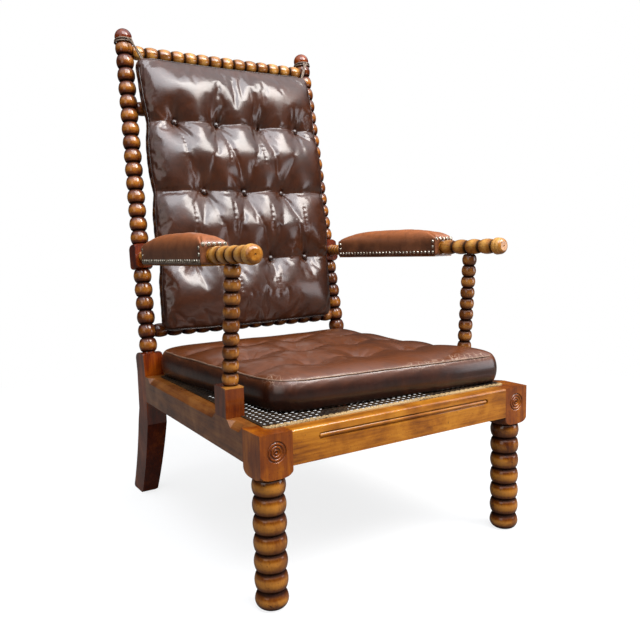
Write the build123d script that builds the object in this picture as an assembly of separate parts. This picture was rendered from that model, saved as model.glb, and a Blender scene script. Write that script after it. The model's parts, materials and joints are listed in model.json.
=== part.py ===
from build123d import *
import os
from math import acos, atan2, cos, pi, sin, sqrt, tan

# Open armchair with bobbin-turned legs, posts, rails and arms, a caned seat,
# a loose leather seat cushion and a buttoned leather back cushion tied to the posts.
# Modelled with the front face of the front blocks on y = 0, the floor on z = 0 and
# the middle of the chair on x = 0, and moved to the middle of its own box at the end.

# Seat frame
front_width = 600.0
rear_width = 564.0
seat_depth = 572.0
rail_top = 295.0
rail_height = 57.0
front_rail_thickness = 46.0
side_rail_thickness = 38.0
rear_rail_thickness = 66.0
rear_rail_setback = 20.0
arris_radius = 3.0

# Turned front legs
block_size = 59.0
block_height = 74.0
leg_radius = 27.8
leg_groove = 21.6
leg_beads = 7
foot_radius = 15.0
foot_rise = 12.0

# Turned roundel on each front block
roundel_drop = 30.0
roundel_radii = (16.0, 10.6, 5.4)
roundel_cut = 2.0
roundel_dimple = 1.2

# Reeded slot along the front rail
slot_length = 384.0
slot_height = 11.0
slot_depth = 4.0
slot_drop = 17.5
reed_radius = 3.7

# Stopped chamfer on the side rails
chamfer_size = 11.0
chamfer_stop = 12.0
chamfer_margin = 4.0

# Rear posts: sabre leg, seat block, turned upright, arm block and ball
post_width = 45.0
post_depth = 53.0
post_block_top = 345.0
post_lean_start = 300.0
post_rake = 122.0
post_splay = 18.4
post_rise = 718.8
post_bead_pitch = 31.5
post_bead_radius = 20.0
post_groove = 13.2
beads_below_arm = 6
beads_above_arm = 15
arm_block_height = 56.0
arm_block_width = 39.0
arm_block_depth = 43.0
finial_radius = 19.5
leg_bend_front = 185.0
leg_bend_rear = 215.0
foot_front = 657.0
foot_rear = 718.0
leg_belly_front = 6.0
leg_belly_rear = 8.0
foot_taper = 8.0
foot_chamfer = 5.0

# Turned back rails
back_rail_radius = 16.0
back_rail_groove = 10.6
back_rail_beads = 14
crest_height = 1030.5
upper_rail_height = 900.0
lower_rail_height = 391.0

# Arms
arm_axis_rear_height = 561.0
arm_axis_front_height = 571.0
arm_front_half_span = 275.6
arm_front = 40.0
spool_length = 72.0
spool_rings = 6
spool_radius = 13.5
spool_groove = 11.0
pad_length = 343.0
arm_core_width = 49.0
arm_core_height = 38.0
arm_beads = 4
arm_bead_radius = 15.6
arm_groove = 10.4
knob_radius = 16.3
knob_disc_radius = 9.5
knob_neck = 10.0
knob_dimple = 2.0

# Leather arm pads and their nails
leather = 2.0
pad_crown = 21.5
pad_skirt = 35.0
pad_crown_shares = ((0.0, 0.08), (0.04, 0.46), (0.15, 0.84), (0.38, 1.0),
                    (0.73, 0.90), (0.88, 0.58), (1.0, 0.06))
nail_radius = 3.9
nail_height = 1.9
nail_lift = 6.0
nails_along = 29
nails_up = 3
nails_across = 5

# Arm supports
support_block_width = 35.0
support_block_length = 46.0
support_block_front = 126.0
support_block_height = 52.0
support_radius = 14.8
support_groove = 9.8
support_beads = 9
support_top_y = 130.0
support_inset = 20.0

# Joinery
tenon_thickness = 11.0
tenon_height = 36.0
block_tenon = 27.0
post_side_tenon = 16.0
post_rear_tenon = 26.0
tenon_fit = 0.2
round_tenon_radius = 6.5
round_tenon_length = 12.0
pommel_rise = 12.0
small_pommel_rise = 8.0

# Corner blocks and their screws under the seat
corner_block_leg = 52.0
corner_block_height = 32.0
corner_block_drop = 16.0
screw_radius = 2.2
screw_head_radius = 4.4
screw_head_height = 2.6
screw_tip_radius = 0.6
screw_length = 46.0
screw_spread = 13.0

# Cane seat
cane_side_inset = 28.0
cane_front_inset = 30.0
cane_rear = 556.0
cane_corner_radius = 12.0
groove_width = 5.0
groove_depth = 6.0
spline_proud = 1.4
spline_fit = 0.1
cane_thickness = 1.4
cane_holes_across = 17
cane_holes_deep = 17
cane_margin = 6.0
cane_hole_share = 0.36
cane_edge_share = 1.5
notch_fit = 0.3

# Seat cushion
cushion_gap = 0.3
seat_cushion_side = 61.0
seat_cushion_crown = 20.0
seat_cushion_bulge = 3.0
seat_seam_inset = 7.0
seat_corners = ((-229.0, 89.0), (268.0, 48.0), (266.0, 103.0),
                (250.0, 131.0), (250.0, 561.0), (-250.0, 561.0))
seat_corner_radii = (36.0, 22.0, 11.0, 11.0, 26.0, 26.0)
seat_bows = (6.0, 0.0, 0.0, -1.0, 5.0, 3.0)
seat_crown_shares = ((0.5, 14.0), (0.85, 42.0), (1.0, 91.0))
seat_tuft_rows = {181.0: (-92.0, 26.0, 144.0), 318.0: (-150.0, -31.0, 88.0, 200.0), 455.0: (-92.0, 26.0, 144.0)}
seat_tuft_depth = 20.0
seat_tuft_flare = 40.0
seat_crease_depth = 6.0
seat_crease_width = 15.0

# Back cushion, in the plane of the posts: across, up the rake and forwards
back_top = 666.0
back_half_top = 222.0
back_corners = ((-230.0, 43.0), (215.0, 46.0), (222.0, 666.0), (-225.0, 666.0))
back_bows = (3.0, 12.0, -3.0, -3.0)
back_corner_radius = 22.0
back_edge = 27.0
back_crown = 31.0
back_rear_crown = 5.0
back_rear_inset = 27.0
back_crown_shares = ((0.55, 15.0), (0.86, 39.0), (1.0, 78.0))
back_tuft_rows = {520.0: (-158.0, -54.0, 168.0), 358.0: (-105.0, 0.0, 106.0),
                  196.0: (-148.0, -49.0, 54.0, 153.0)}
back_empty_tuft = (60.0, 520.0)
back_tuft_depth = 21.0
back_tuft_flare = 36.0
back_crease_depth = 8.0
back_crease_width = 16.0
button_radius = 7.0
button_height = 5.0

# Leather ties of the back cushion
tie_radius = 3.0
tie_clearance = 3.7
strand_radius = 3.0
strand_spread = 9.0
strand_corner_inset = 14.0
strand_corner_drop = 12.0

# Shares that shape a turned bead, as parts of its pitch and of its height over the groove
cheek_rise_share = 0.80
cheek_height_share = 0.24
crook_rise_share = 0.42
crook_height_share = 0.075
round_corner_share = 1 - sqrt(0.5)
arc_middle_share = sqrt(0.5)
overrun = 40.0

# Places that follow from the sizes above
rail_bottom = rail_top - rail_height
side_slope = (front_width - rear_width) / 2 / seat_depth
leg_axis_x = front_width / 2 - block_size / 2
leg_axis_y = block_size / 2
leg_height = rail_top - block_height
leg_pitch = leg_height / leg_beads
post_axis_x = rear_width / 2 - post_width / 2
post_inner_x = rear_width / 2 - post_width
post_middle_y = seat_depth + post_depth / 2
rake_angle = atan2(post_rake, post_rise)
post_axis_y = post_middle_y + (post_block_top - post_lean_start) * post_rake / post_rise
post_foot = Vector(-post_axis_x, post_axis_y, post_block_top)
post_head = post_foot + Vector(post_splay, post_rake, post_rise)
post_length = (post_head - post_foot).length
post_frame = Plane(origin=post_foot, x_dir=(1, 0, 0), z_dir=post_head - post_foot)
arm_block_start = beads_below_arm * post_bead_pitch
arm_block_end = arm_block_start + arm_block_height
post_beads_end = arm_block_end + beads_above_arm * post_bead_pitch
back_frame = Plane(origin=(0, post_axis_y, post_block_top), x_dir=(1, 0, 0),
                   z_dir=(0, -cos(rake_angle), sin(rake_angle)))
cane_top = rail_top + cane_thickness
seat_cushion_bottom = cane_top + cushion_gap
back_edge_rear = back_rail_radius + cushion_gap + back_rear_crown
back_edge_front = back_edge_rear + back_edge
tie_ring_radius = post_groove + tie_clearance + tie_radius
tie_front = tie_ring_radius + tie_radius + cushion_gap + strand_radius


def side_face(y):
    """Half width of the frame's outer faces at a distance behind the front."""
    return front_width / 2 - side_slope * y


def post_point(height):
    """Point on the left post's turning axis at a height over the floor."""
    share = (height - post_block_top) / post_rise
    return post_foot + (post_head - post_foot) * share


def turned(edges):
    """Solid turned about Z from edges that climb its side in the XZ plane."""
    start = edges[0] @ 0
    end = edges[-1] @ 1
    foot = Line((0, 0, start.Z), start)
    head = Line(end, (0, 0, end.Z))
    spine = Line((0, 0, end.Z), (0, 0, start.Z))
    return revolve(make_face([foot, *edges, head, spine]), Axis.Z)


def bead_edges(radius, groove, pitch, count, start=0.0):
    """Side of a row of barrel-shaped beads, three arcs to each bead."""
    rise = radius - groove
    edges = []
    for number in range(count):
        low = start + number * pitch
        high = low + pitch
        cheek = groove + rise * cheek_rise_share
        crook = groove + rise * crook_rise_share
        cheek_step = pitch * cheek_height_share
        crook_step = pitch * crook_height_share
        low_cheek, high_cheek = (cheek, 0, low + cheek_step), (cheek, 0, high - cheek_step)
        edges.append(ThreePointArc((groove, 0, low), (crook, 0, low + crook_step), low_cheek))
        edges.append(ThreePointArc(low_cheek, (radius, 0, low + pitch / 2), high_cheek))
        edges.append(ThreePointArc(high_cheek, (crook, 0, high - crook_step), (groove, 0, high)))
    return edges


def shoulder(inner, outer, rise, length):
    """Turned limit of a square block: flat inside, then curving out to its corners."""
    middle = (inner + (outer - inner) * arc_middle_share, 0, rise * round_corner_share)
    curve = ThreePointArc((inner, 0, 0), middle, (outer, 0, rise))
    side = Line((outer, 0, rise), (outer, 0, length))
    return turned([curve, side])


def box_between(low, high):
    """Box from its lowest to its highest corner."""
    size = Vector(*high) - Vector(*low)
    return Pos(*((Vector(*low) + Vector(*high)) * 0.5)) * Box(size.X, size.Y, size.Z)


def plan_prism(points, low, high):
    """Upright prism on a plan outline."""
    return Pos(0, 0, low) * extrude(make_face(Polyline(*points, close=True)), high - low)


def rod(start, end, radius):
    """Round rod between two points."""
    start, end = Vector(*start), Vector(*end)
    frame = Plane(origin=start, z_dir=end - start)
    return frame * (Pos(0, 0, (end - start).length / 2) * Cylinder(radius, (end - start).length))


def rounded_outline(corners, radii, bows, inset):
    """Closed outline of bowed sides and round corners, drawn in towards its middle by an inset."""
    count = len(corners)
    low = Vector(min(x for x, _ in corners), min(y for _, y in corners))
    high = Vector(max(x for x, _ in corners), max(y for _, y in corners))
    middle, half = (low + high) * 0.5, (high - low) * 0.5
    share_x, share_y = 1 - inset / half.X, 1 - inset / half.Y
    points = [middle + Vector((x - middle.X) * share_x, (y - middle.Y) * share_y) for x, y in corners]
    ways = [(points[(i + 1) % count] - points[i]).normalized() for i in range(count)]
    reaches = [radius * min(share_x, share_y) for radius in radii]
    edges = []
    for i in range(count):
        way, following = ways[i], ways[(i + 1) % count]
        start, end, reach = points[i], points[(i + 1) % count], reaches[(i + 1) % count]
        first, last = start + way * reaches[i], end - way * reach
        bow = bows[i] * share_x
        if bow:
            edges.append(ThreePointArc(first, (first + last) * 0.5 + Vector(way.Y, -way.X) * bow, last))
        else:
            edges.append(Line(first, last))
        turn = (following - way).normalized() * (reach * tan(acos(way.dot(following)) / 4))
        edges.append(ThreePointArc(last, end + turn, end + following * reach))
    return Wire(edges)


def cushion_form(corners, radii, bows, levels):
    """Ruled loft through one outline at each level, each drawn in by its inset."""
    wires = [Pos(0, 0, height) * rounded_outline(corners, radii, bows, inset) for height, inset in levels]
    return Solid.make_loft(wires, ruled=True)


def tuft(x, y, top, depth, flare):
    """Flared hollow that a button is drawn down into."""
    waist = button_radius + (flare - button_radius) * round_corner_share
    side = ThreePointArc((button_radius, 0, 0), (waist, 0, depth * arc_middle_share), (flare, 0, depth + cushion_gap))
    return Pos(x, y, top - depth) * turned([side])


def crease(start, end, top, depth, width):
    """Three-sided channel drawn in between two places on a cushion."""
    start, end = Vector(*start), Vector(*end)
    way = end - start
    frame = Plane(origin=(start.X, start.Y, top), x_dir=way.cross(Vector(0, 0, 1)), z_dir=way)
    bed = make_face(Polyline((0, depth), (width / 2, -depth), (-width / 2, -depth), close=True))
    return frame * extrude(bed, way.length)


def button(x, y, base):
    """Domed button on its bed."""
    brow = (button_radius * arc_middle_share, 0, button_height * arc_middle_share)
    dome = ThreePointArc((button_radius, 0, 0), brow, (button_radius * cheek_height_share, 0, button_height))
    return Pos(x, y, base) * turned([dome])


def mortise(low, high, open_axis):
    """Mortise a little larger than its tenon, but not along the way the tenon goes in."""
    grow = [0.0 if index == open_axis else tenon_fit for index in range(3)]
    return box_between([a - g for a, g in zip(low, grow)], [b + g for b, g in zip(high, grow)])


# Tenons of the left half, each as its two corners
tenon_bottom = rail_bottom + (rail_height - tenon_height) / 2
tenon_top = tenon_bottom + tenon_height
block_inner_x = front_width / 2 - block_size
front_tenon_y = front_rail_thickness / 2
side_tenon_x = side_face(block_size) - side_rail_thickness / 2
side_rear_tenon_x = side_face(seat_depth) - side_rail_thickness / 2
rear_tenon_y = seat_depth + post_depth - rear_rail_setback - tenon_thickness
front_tenon = ((-block_inner_x - block_tenon, front_tenon_y - tenon_thickness / 2, tenon_bottom),
               (-block_inner_x, front_tenon_y + tenon_thickness / 2, tenon_top))
side_front_tenon = ((-side_tenon_x - tenon_thickness / 2, block_size - block_tenon, tenon_bottom),
                    (-side_tenon_x + tenon_thickness / 2, block_size, tenon_top))
side_rear_tenon = ((-side_rear_tenon_x - tenon_thickness / 2, seat_depth, tenon_bottom),
                   (-side_rear_tenon_x + tenon_thickness / 2, seat_depth + post_side_tenon, tenon_top))
rear_tenon = ((-post_inner_x - post_rear_tenon, rear_tenon_y - tenon_thickness / 2, tenon_bottom),
              (-post_inner_x, rear_tenon_y + tenon_thickness / 2, tenon_top))


def seat_plan(margin):
    """Plan of the caned area, drawn in by a margin from the outside of the spline's groove."""
    front = cane_front_inset + margin
    rear = cane_rear - margin
    radius = cane_corner_radius - min(margin, cane_corner_radius / 2)
    left_front = -(side_face(front) - cane_side_inset - margin)
    left_rear = -(side_face(rear) - cane_side_inset - margin)
    corners = [(left_front, front), (-left_front, front), (-left_rear, rear), (left_rear, rear)]
    return make_face(FilletPolyline(*corners, radius=radius, close=True))


def ring_between(outer_margin, inner_margin, low, high):
    """Upright ring of the cane's plan between two margins."""
    plan = seat_plan(outer_margin) - seat_plan(inner_margin)
    return Pos(0, 0, low) * extrude(plan, high - low)


cane_groove = ring_between(0.0, groove_width, rail_top - groove_depth, rail_top + overrun)


def support_foot_plan(clearance):
    """Corners of the left arm support's square foot, grown by a clearance."""
    front = support_block_front - clearance
    rear = support_block_front + support_block_length + clearance
    outer_front, outer_rear = -side_face(front), -side_face(rear)
    width = support_block_width + clearance
    return [(outer_front, front), (outer_front + width, front), (outer_rear + width, rear), (outer_rear, rear)]


support_axis_x = side_face(support_block_front + support_block_length / 2) - support_inset
support_foot_y = support_block_front + support_block_length / 2
support_base_z = rail_top + support_block_height

# Arm axis: from the front face of the post's arm block to the tip of the knob
arm_block_middle = post_point(arm_axis_rear_height)
arm_root = arm_block_middle + Vector(0, -arm_block_depth / 2, 0)
arm_tip = Vector(-arm_front_half_span, arm_front, arm_axis_front_height)
arm_length = (arm_tip - arm_root).length
arm_frame = Plane(origin=arm_root, x_dir=(1, 0, 0), z_dir=arm_tip - arm_root)
pad_start = spool_length
pad_end = pad_start + pad_length
arm_bead_pitch = (arm_length - pad_end) / (arm_beads + arm_bead_radius / spool_length * pi)
knob_start = pad_end + arm_beads * arm_bead_pitch
support_reach = (arm_root.Y - support_top_y) / (arm_root.Y - arm_tip.Y)
support_top = arm_root + (arm_tip - arm_root) * support_reach - Vector(0, 0, arm_bead_radius)
support_foot = Vector(-support_axis_x, support_foot_y, support_base_z)
support_frame = Plane(origin=support_foot, x_dir=(1, 0, 0), z_dir=support_top - support_foot)
support_length = (support_top - support_foot).length


def front_leg():
    """Left front leg: square block with a turned roundel over a row of beads."""
    block = box_between((-front_width / 2, 0, leg_height), (-block_inner_x, block_size, rail_top))
    corner = block_size * arc_middle_share + tenon_fit
    limit = Pos(-leg_axis_x, leg_axis_y, leg_height) * shoulder(leg_radius, corner, pommel_rise, block_height)
    block = block & limit
    toe = (leg_radius * cheek_rise_share, 0, foot_rise * round_corner_share)
    foot = ThreePointArc((foot_radius, 0, 0), toe, (leg_radius, 0, leg_pitch / 2))
    waist = (leg_radius - (leg_radius - leg_groove) * round_corner_share, 0, leg_pitch * (1 - cheek_height_share))
    instep = ThreePointArc((leg_radius, 0, leg_pitch / 2), waist, (leg_groove, 0, leg_pitch))
    beads = bead_edges(leg_radius, leg_groove, leg_pitch, leg_beads - 1, leg_pitch)
    leg = Pos(-leg_axis_x, leg_axis_y, 0) * turned([foot, instep, *beads])
    piece = block + leg
    face = Plane(origin=(-leg_axis_x, 0, rail_top - roundel_drop), x_dir=(1, 0, 0), z_dir=(0, -1, 0))
    for radius in roundel_radii:
        piece -= face * Torus(radius, roundel_cut)
    piece -= face * Sphere(roundel_dimple + roundel_cut)
    piece -= mortise(*front_tenon, open_axis=0)
    piece -= mortise(*side_front_tenon, open_axis=1)
    return piece - cane_groove


def rear_post():
    """Left rear post: sabre leg and seat block, then turned beads, arm block, beads and ball."""
    front, rear, outer_x = seat_depth, seat_depth + post_depth, -rear_width / 2
    lean = (post_block_top - post_lean_start) * post_rake / post_rise
    middle_front = ((front + foot_front) / 2 - leg_belly_front, leg_bend_front / 2)
    middle_rear = ((rear + foot_rear) / 2 - leg_belly_rear, leg_bend_rear / 2)
    outline = [
        ThreePointArc((foot_front, 0), middle_front, (front, leg_bend_front)),
        Line((front, leg_bend_front), (front, post_lean_start)),
        Line((front, post_lean_start), (front + lean, post_block_top)),
        Line((front + lean, post_block_top), (rear + lean, post_block_top)),
        Line((rear + lean, post_block_top), (rear, post_lean_start)),
        Line((rear, post_lean_start), (rear, leg_bend_rear)),
        ThreePointArc((rear, leg_bend_rear), middle_rear, (foot_rear, 0)),
        Line((foot_rear, 0), (foot_front, 0)),
    ]
    side_view = Plane(origin=(outer_x, 0, 0), x_dir=(0, 1, 0), z_dir=(1, 0, 0))
    leg = side_view * extrude(make_face(outline), post_width)
    leg = chamfer(leg.faces().sort_by(Axis.Z)[0].edges(), foot_chamfer)
    wedge = ((outer_x, leg_bend_front), (outer_x + foot_taper, 0), (outer_x - overrun, 0))
    taper = extrude(make_face(Polyline(*wedge, close=True)), foot_rear - front + 2 * overrun)
    leg -= Plane(origin=(0, foot_rear + overrun, 0), x_dir=(1, 0, 0), z_dir=(0, -1, 0)) * taper
    corner = (post_width + post_depth) / 2 * arc_middle_share
    cap = shoulder(post_bead_radius, corner, pommel_rise, pommel_rise + tenon_fit)
    cap += Pos(0, 0, pommel_rise + post_block_top / 2) * Cylinder(post_block_top, post_block_top)
    turn_down = Plane(origin=post_foot, x_dir=(1, 0, 0), z_dir=post_foot - post_head)
    leg = leg & (turn_down * cap)
    start = -small_pommel_rise
    root = Line((post_groove, 0, start), (post_groove, 0, 0))
    lower = bead_edges(post_bead_radius, post_groove, post_bead_pitch, beads_below_arm)
    core = Line((post_groove, 0, arm_block_start), (post_groove, 0, arm_block_end))
    upper = bead_edges(post_bead_radius, post_groove, post_bead_pitch, beads_above_arm, arm_block_end)
    upright = turned([root, *lower, core, *upper])
    half = arm_block_height / 2
    corner = (arm_block_width + arm_block_depth) / 2 * arc_middle_share
    block = Box(arm_block_width, arm_block_depth, arm_block_height)
    limit = Pos(0, 0, -half) * shoulder(post_groove, corner, small_pommel_rise, arm_block_height)
    block = block & limit & (Rot(180, 0, 0) * limit)
    upright += Pos(0, 0, arm_block_start + half) * block
    upright += Pos(0, 0, post_length) * Sphere(finial_radius)
    piece = leg + post_frame * upright
    piece -= mortise(*side_rear_tenon, open_axis=1)
    piece -= mortise(*rear_tenon, open_axis=0)
    piece -= arm_frame * (Pos(0, 0, -round_tenon_length / 2) * Cylinder(round_tenon_radius, round_tenon_length))
    for height in (crest_height, upper_rail_height, lower_rail_height):
        piece -= rail_socket(height)
    return piece


def rail_socket(height):
    """Round hole for a turned back rail's tenon in the left post, from its axis inwards."""
    middle = post_point(height)
    return rod(middle, middle + Vector(overrun, 0, 0), round_tenon_radius)


def back_rail(height):
    """Bobbin-turned rail between the posts, with a round tenon at each end."""
    middle = post_point(height)
    half = -middle.X - post_groove
    pitch = 2 * half / back_rail_beads
    row = turned(bead_edges(back_rail_radius, back_rail_groove, pitch, back_rail_beads, -half))
    frame = Plane(origin=(0, middle.Y, height), x_dir=(0, 1, 0), z_dir=(1, 0, 0))
    rail = frame * row
    for side in (-1, 1):
        bowl = Plane(origin=(side * middle.X, middle.Y, middle.Z), x_dir=(1, 0, 0),
                     z_dir=(side * post_splay, post_rake, post_rise))
        rail -= bowl * Cylinder(post_bead_radius, 2 * post_bead_pitch)
        rail += rod((side * middle.X, middle.Y, middle.Z),
                    (side * (middle.X + post_bead_radius), middle.Y, middle.Z), round_tenon_radius)
    return rail


def front_rail():
    """Front rail with a reeded slot and a rounded top arris."""
    rail = box_between((-block_inner_x, 0, rail_bottom), (block_inner_x, front_rail_thickness, rail_top))
    rail = fillet(rail.edges().filter_by(Axis.X).group_by(Axis.Y)[0].sort_by(Axis.Z)[-1], arris_radius)
    face = Plane(origin=(0, 0, rail_top - slot_drop), x_dir=(1, 0, 0), z_dir=(0, -1, 0))
    rail -= face * (Pos(0, 0, -slot_depth) * extrude(SlotOverall(slot_length, slot_height), slot_depth))
    reed_half = slot_length / 2 - slot_height / 2
    reed = Rot(0, 90, 0) * Cylinder(reed_radius, 2 * reed_half)
    reed += Pos(reed_half, 0, 0) * Sphere(reed_radius) + Pos(-reed_half, 0, 0) * Sphere(reed_radius)
    rail += face * (Pos(0, 0, -slot_depth) * reed)
    left = box_between(*front_tenon)
    return rail + left + mirror(left, about=Plane.YZ) - cane_groove


def side_rail():
    """Left side rail with stopped chamfers on its top arris and the arm support's socket."""
    outer_front, outer_rear = -side_face(block_size), -side_face(seat_depth)
    plan = [(outer_front, block_size), (outer_front + side_rail_thickness, block_size),
            (outer_rear + side_rail_thickness, seat_depth), (outer_rear, seat_depth)]
    rail = plan_prism(plan, rail_bottom, rail_top)
    rail += box_between(*side_front_tenon) + box_between(*side_rear_tenon)
    support_rear = support_block_front + support_block_length
    rail -= stopped_chamfer(block_size + chamfer_margin, support_block_front - chamfer_margin)
    rail -= stopped_chamfer(support_rear + chamfer_margin, seat_depth - chamfer_stop - chamfer_margin * 2)
    rail -= rod((support_foot.X, support_foot.Y, rail_top - round_tenon_length),
                (support_foot.X, support_foot.Y, rail_top), round_tenon_radius)
    return rail - cane_groove


def stopped_chamfer(start, end):
    """Cutter for a chamfer on the side rail's outer arris, running out at both ends."""
    def section(y, size):
        x = -side_face(y)
        corners = [(x - tenon_fit, y, rail_top - size), (x + size, y, rail_top + tenon_fit),
                   (x - tenon_fit, y, rail_top + tenon_fit)]
        return Wire.make_polygon([Vector(*corner) for corner in corners])

    places = [(start, tenon_fit), (start + chamfer_stop, chamfer_size),
              (end - chamfer_stop, chamfer_size), (end, tenon_fit)]
    return Solid.make_loft([section(y, size) for y, size in places], ruled=True)


def rear_rail():
    """Rear rail, wide enough to carry the cane, notched round the posts."""
    back = seat_depth + post_depth - rear_rail_setback
    front = back - rear_rail_thickness
    wide_front = side_face(front) - side_rail_thickness
    wide_rear = side_face(seat_depth) - side_rail_thickness
    plan = [(-wide_front, front), (wide_front, front), (wide_rear, seat_depth), (post_inner_x, seat_depth),
            (post_inner_x, back), (-post_inner_x, back), (-post_inner_x, seat_depth), (-wide_rear, seat_depth)]
    rail = plan_prism(plan, rail_bottom, rail_top)
    left = box_between(*rear_tenon)
    return rail + left + mirror(left, about=Plane.YZ) - cane_groove


def arm_support():
    """Left arm support: square foot on the side rail, beads above, pins at both ends."""
    foot = plan_prism(support_foot_plan(0.0), rail_top, support_base_z)
    corner = (support_block_width + support_block_length) / 2 * arc_middle_share
    dome = shoulder(support_radius, corner + overrun / 2, small_pommel_rise, support_block_height)
    limit = Pos(support_foot.X, support_foot.Y, support_base_z) * (Rot(180, 0, 0) * dome)
    limit += Pos(support_foot.X, support_foot.Y, rail_top) * Cylinder(overrun, support_block_height)
    foot = foot & limit
    pitch = support_length / support_beads
    root = Line((support_groove, 0, -small_pommel_rise), (support_groove, 0, 0))
    beads = support_frame * turned([root, *bead_edges(support_radius, support_groove, pitch, support_beads)])
    pin = support_frame * (Pos(0, 0, support_length) * Cylinder(round_tenon_radius, 2 * round_tenon_length))
    post = rod((support_foot.X, support_foot.Y, rail_top - round_tenon_length),
               (support_foot.X, support_foot.Y, rail_top + round_tenon_length), round_tenon_radius)
    return foot + beads + pin + post


def arm():
    """Left arm: ringed spool, square core under the pad, beads and a knob, turned in one."""
    rings = bead_edges(spool_radius, spool_groove, spool_length / spool_rings, spool_rings)
    core = Line((spool_groove, 0, pad_start), (spool_groove, 0, pad_end))
    step = Line((spool_groove, 0, pad_end), (arm_groove, 0, pad_end))
    beads = bead_edges(arm_bead_radius, arm_groove, arm_bead_pitch, arm_beads, pad_end)
    knob_length = arm_length - knob_start
    neck = Line((arm_groove, 0, knob_start), (knob_neck, 0, knob_start))
    cheek = knob_neck + (knob_radius - knob_neck) * cheek_rise_share
    brow = knob_disc_radius + (knob_radius - knob_disc_radius) * arc_middle_share
    low = (cheek, 0, knob_start + knob_length * cheek_height_share / 2)
    widest = (knob_radius, 0, knob_start + knob_length / 2)
    swell = ThreePointArc((knob_neck, 0, knob_start), low, widest)
    dome = ThreePointArc(widest, (brow, 0, arm_length - knob_length / 2 * round_corner_share),
                         (knob_disc_radius, 0, arm_length))
    turning = turned([*rings, core, step, *beads, neck, swell, dome])
    middle = (pad_start + pad_end) / 2
    turning += Pos(0, 0, middle) * Box(arm_core_width, arm_core_height, pad_length)
    turning -= Pos(0, 0, arm_length) * Sphere(knob_dimple)
    block = Box(arm_block_width, arm_block_depth, 2 * arm_block_height)
    piece = arm_frame * turning - post_frame * (Pos(0, 0, arm_block_start + arm_block_height / 2) * block)
    piece += arm_frame * (Pos(0, 0, -round_tenon_length / 2) * Cylinder(round_tenon_radius, round_tenon_length))
    pin_hole = support_frame * (Pos(0, 0, support_length) * Cylinder(round_tenon_radius, 2 * round_tenon_length))
    saddle = support_frame * (Pos(0, 0, support_length - overrun / 2) * Cylinder(support_radius, overrun))
    return piece - pin_hole - saddle


def arm_pad():
    """Left arm pad: crowned leather over the stuffing, drawn down over the core's sides."""
    outer_width = arm_core_width + 2 * leather
    half_height = arm_core_height / 2
    low = half_height - pad_skirt
    half = outer_width / 2
    sections = []
    for along_share, crown_share in pad_crown_shares:
        crown = half_height + leather + pad_crown * crown_share
        cheek = half_height + leather + pad_crown * crown_share * cheek_height_share
        outline = [Line((-half, low), (half, low)), Line((half, low), (half, cheek)),
                   ThreePointArc((half, cheek), (0, crown), (-half, cheek)), Line((-half, cheek), (-half, low))]
        sections.append(Pos(0, 0, pad_start + pad_length * along_share) * Wire(outline))
    pad = Part() + Solid.make_loft(sections, ruled=True)
    middle = (pad_start + pad_end) / 2
    panel_height = pad_skirt + 2 * leather
    for end, way in ((pad_start, -1), (pad_end, 1)):
        pad += Pos(0, low + panel_height / 2, end + way * leather / 2) * Box(outer_width, panel_height, leather)
    pad -= Pos(0, 0, middle) * Box(arm_core_width, arm_core_height, pad_length)
    pad -= Pos(0, low - overrun / 2, middle) * Box(arm_core_width, overrun, pad_length)
    pad -= Pos(0, 0, middle) * Cylinder(arm_bead_radius + notch_fit, pad_length + 2 * overrun)
    return arm_frame * pad


def arm_nails():
    """Domed nail heads round the lower edge and the ends of the left arm pad."""
    brow = (nail_radius * arc_middle_share, 0, nail_height * cheek_rise_share)
    dome = ThreePointArc((nail_radius, 0, 0), brow, (nail_radius * round_corner_share, 0, nail_height))
    head = turned([dome])
    half = arm_core_width / 2 + leather
    low = arm_core_height / 2 - pad_skirt + nail_lift
    step = (pad_length - 2 * nail_lift) / (nails_along - 1)
    rise = (arm_core_height / 2 - low) / (nails_up - 1)
    across = (2 * half - 2 * nail_lift) / (nails_across - 1)
    heads = []
    for side in (-1, 1):
        for number in range(nails_along):
            place = Plane(origin=(side * half, low, pad_start + nail_lift + number * step),
                          x_dir=(0, 1, 0), z_dir=(side, 0, 0))
            heads.append(place * head)
        for number in range(1, nails_up):
            for along in (pad_start + nail_lift, pad_end - nail_lift):
                place = Plane(origin=(side * half, low + number * rise * cheek_rise_share, along),
                              x_dir=(0, 1, 0), z_dir=(side, 0, 0))
                heads.append(place * head)
    edge = arm_core_height / 2 + 2 * leather - nail_radius
    for number in range(nails_across):
        heads.append(Pos((number - (nails_across - 1) / 2) * across, edge, pad_end + leather) * head)
    return heads


def corner_block(front):
    """Left corner block, glued and screwed into a corner of the frame, front or rear."""
    top = rail_top - corner_block_drop
    if front:
        x = -(side_face(block_size) - side_rail_thickness)
        y = front_rail_thickness
        plan = [(-block_inner_x, y), (-block_inner_x + corner_block_leg, y),
                (x + side_slope * corner_block_leg, block_size + corner_block_leg), (x, block_size),
                (-block_inner_x, block_size)]
    else:
        y = seat_depth + post_depth - rear_rail_setback - rear_rail_thickness
        x = -(side_face(y) - side_rail_thickness)
        plan = [(x, y), (x - side_slope * corner_block_leg, y - corner_block_leg), (x + corner_block_leg, y)]
    return plan_prism(plan, top - corner_block_height, top)


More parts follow.
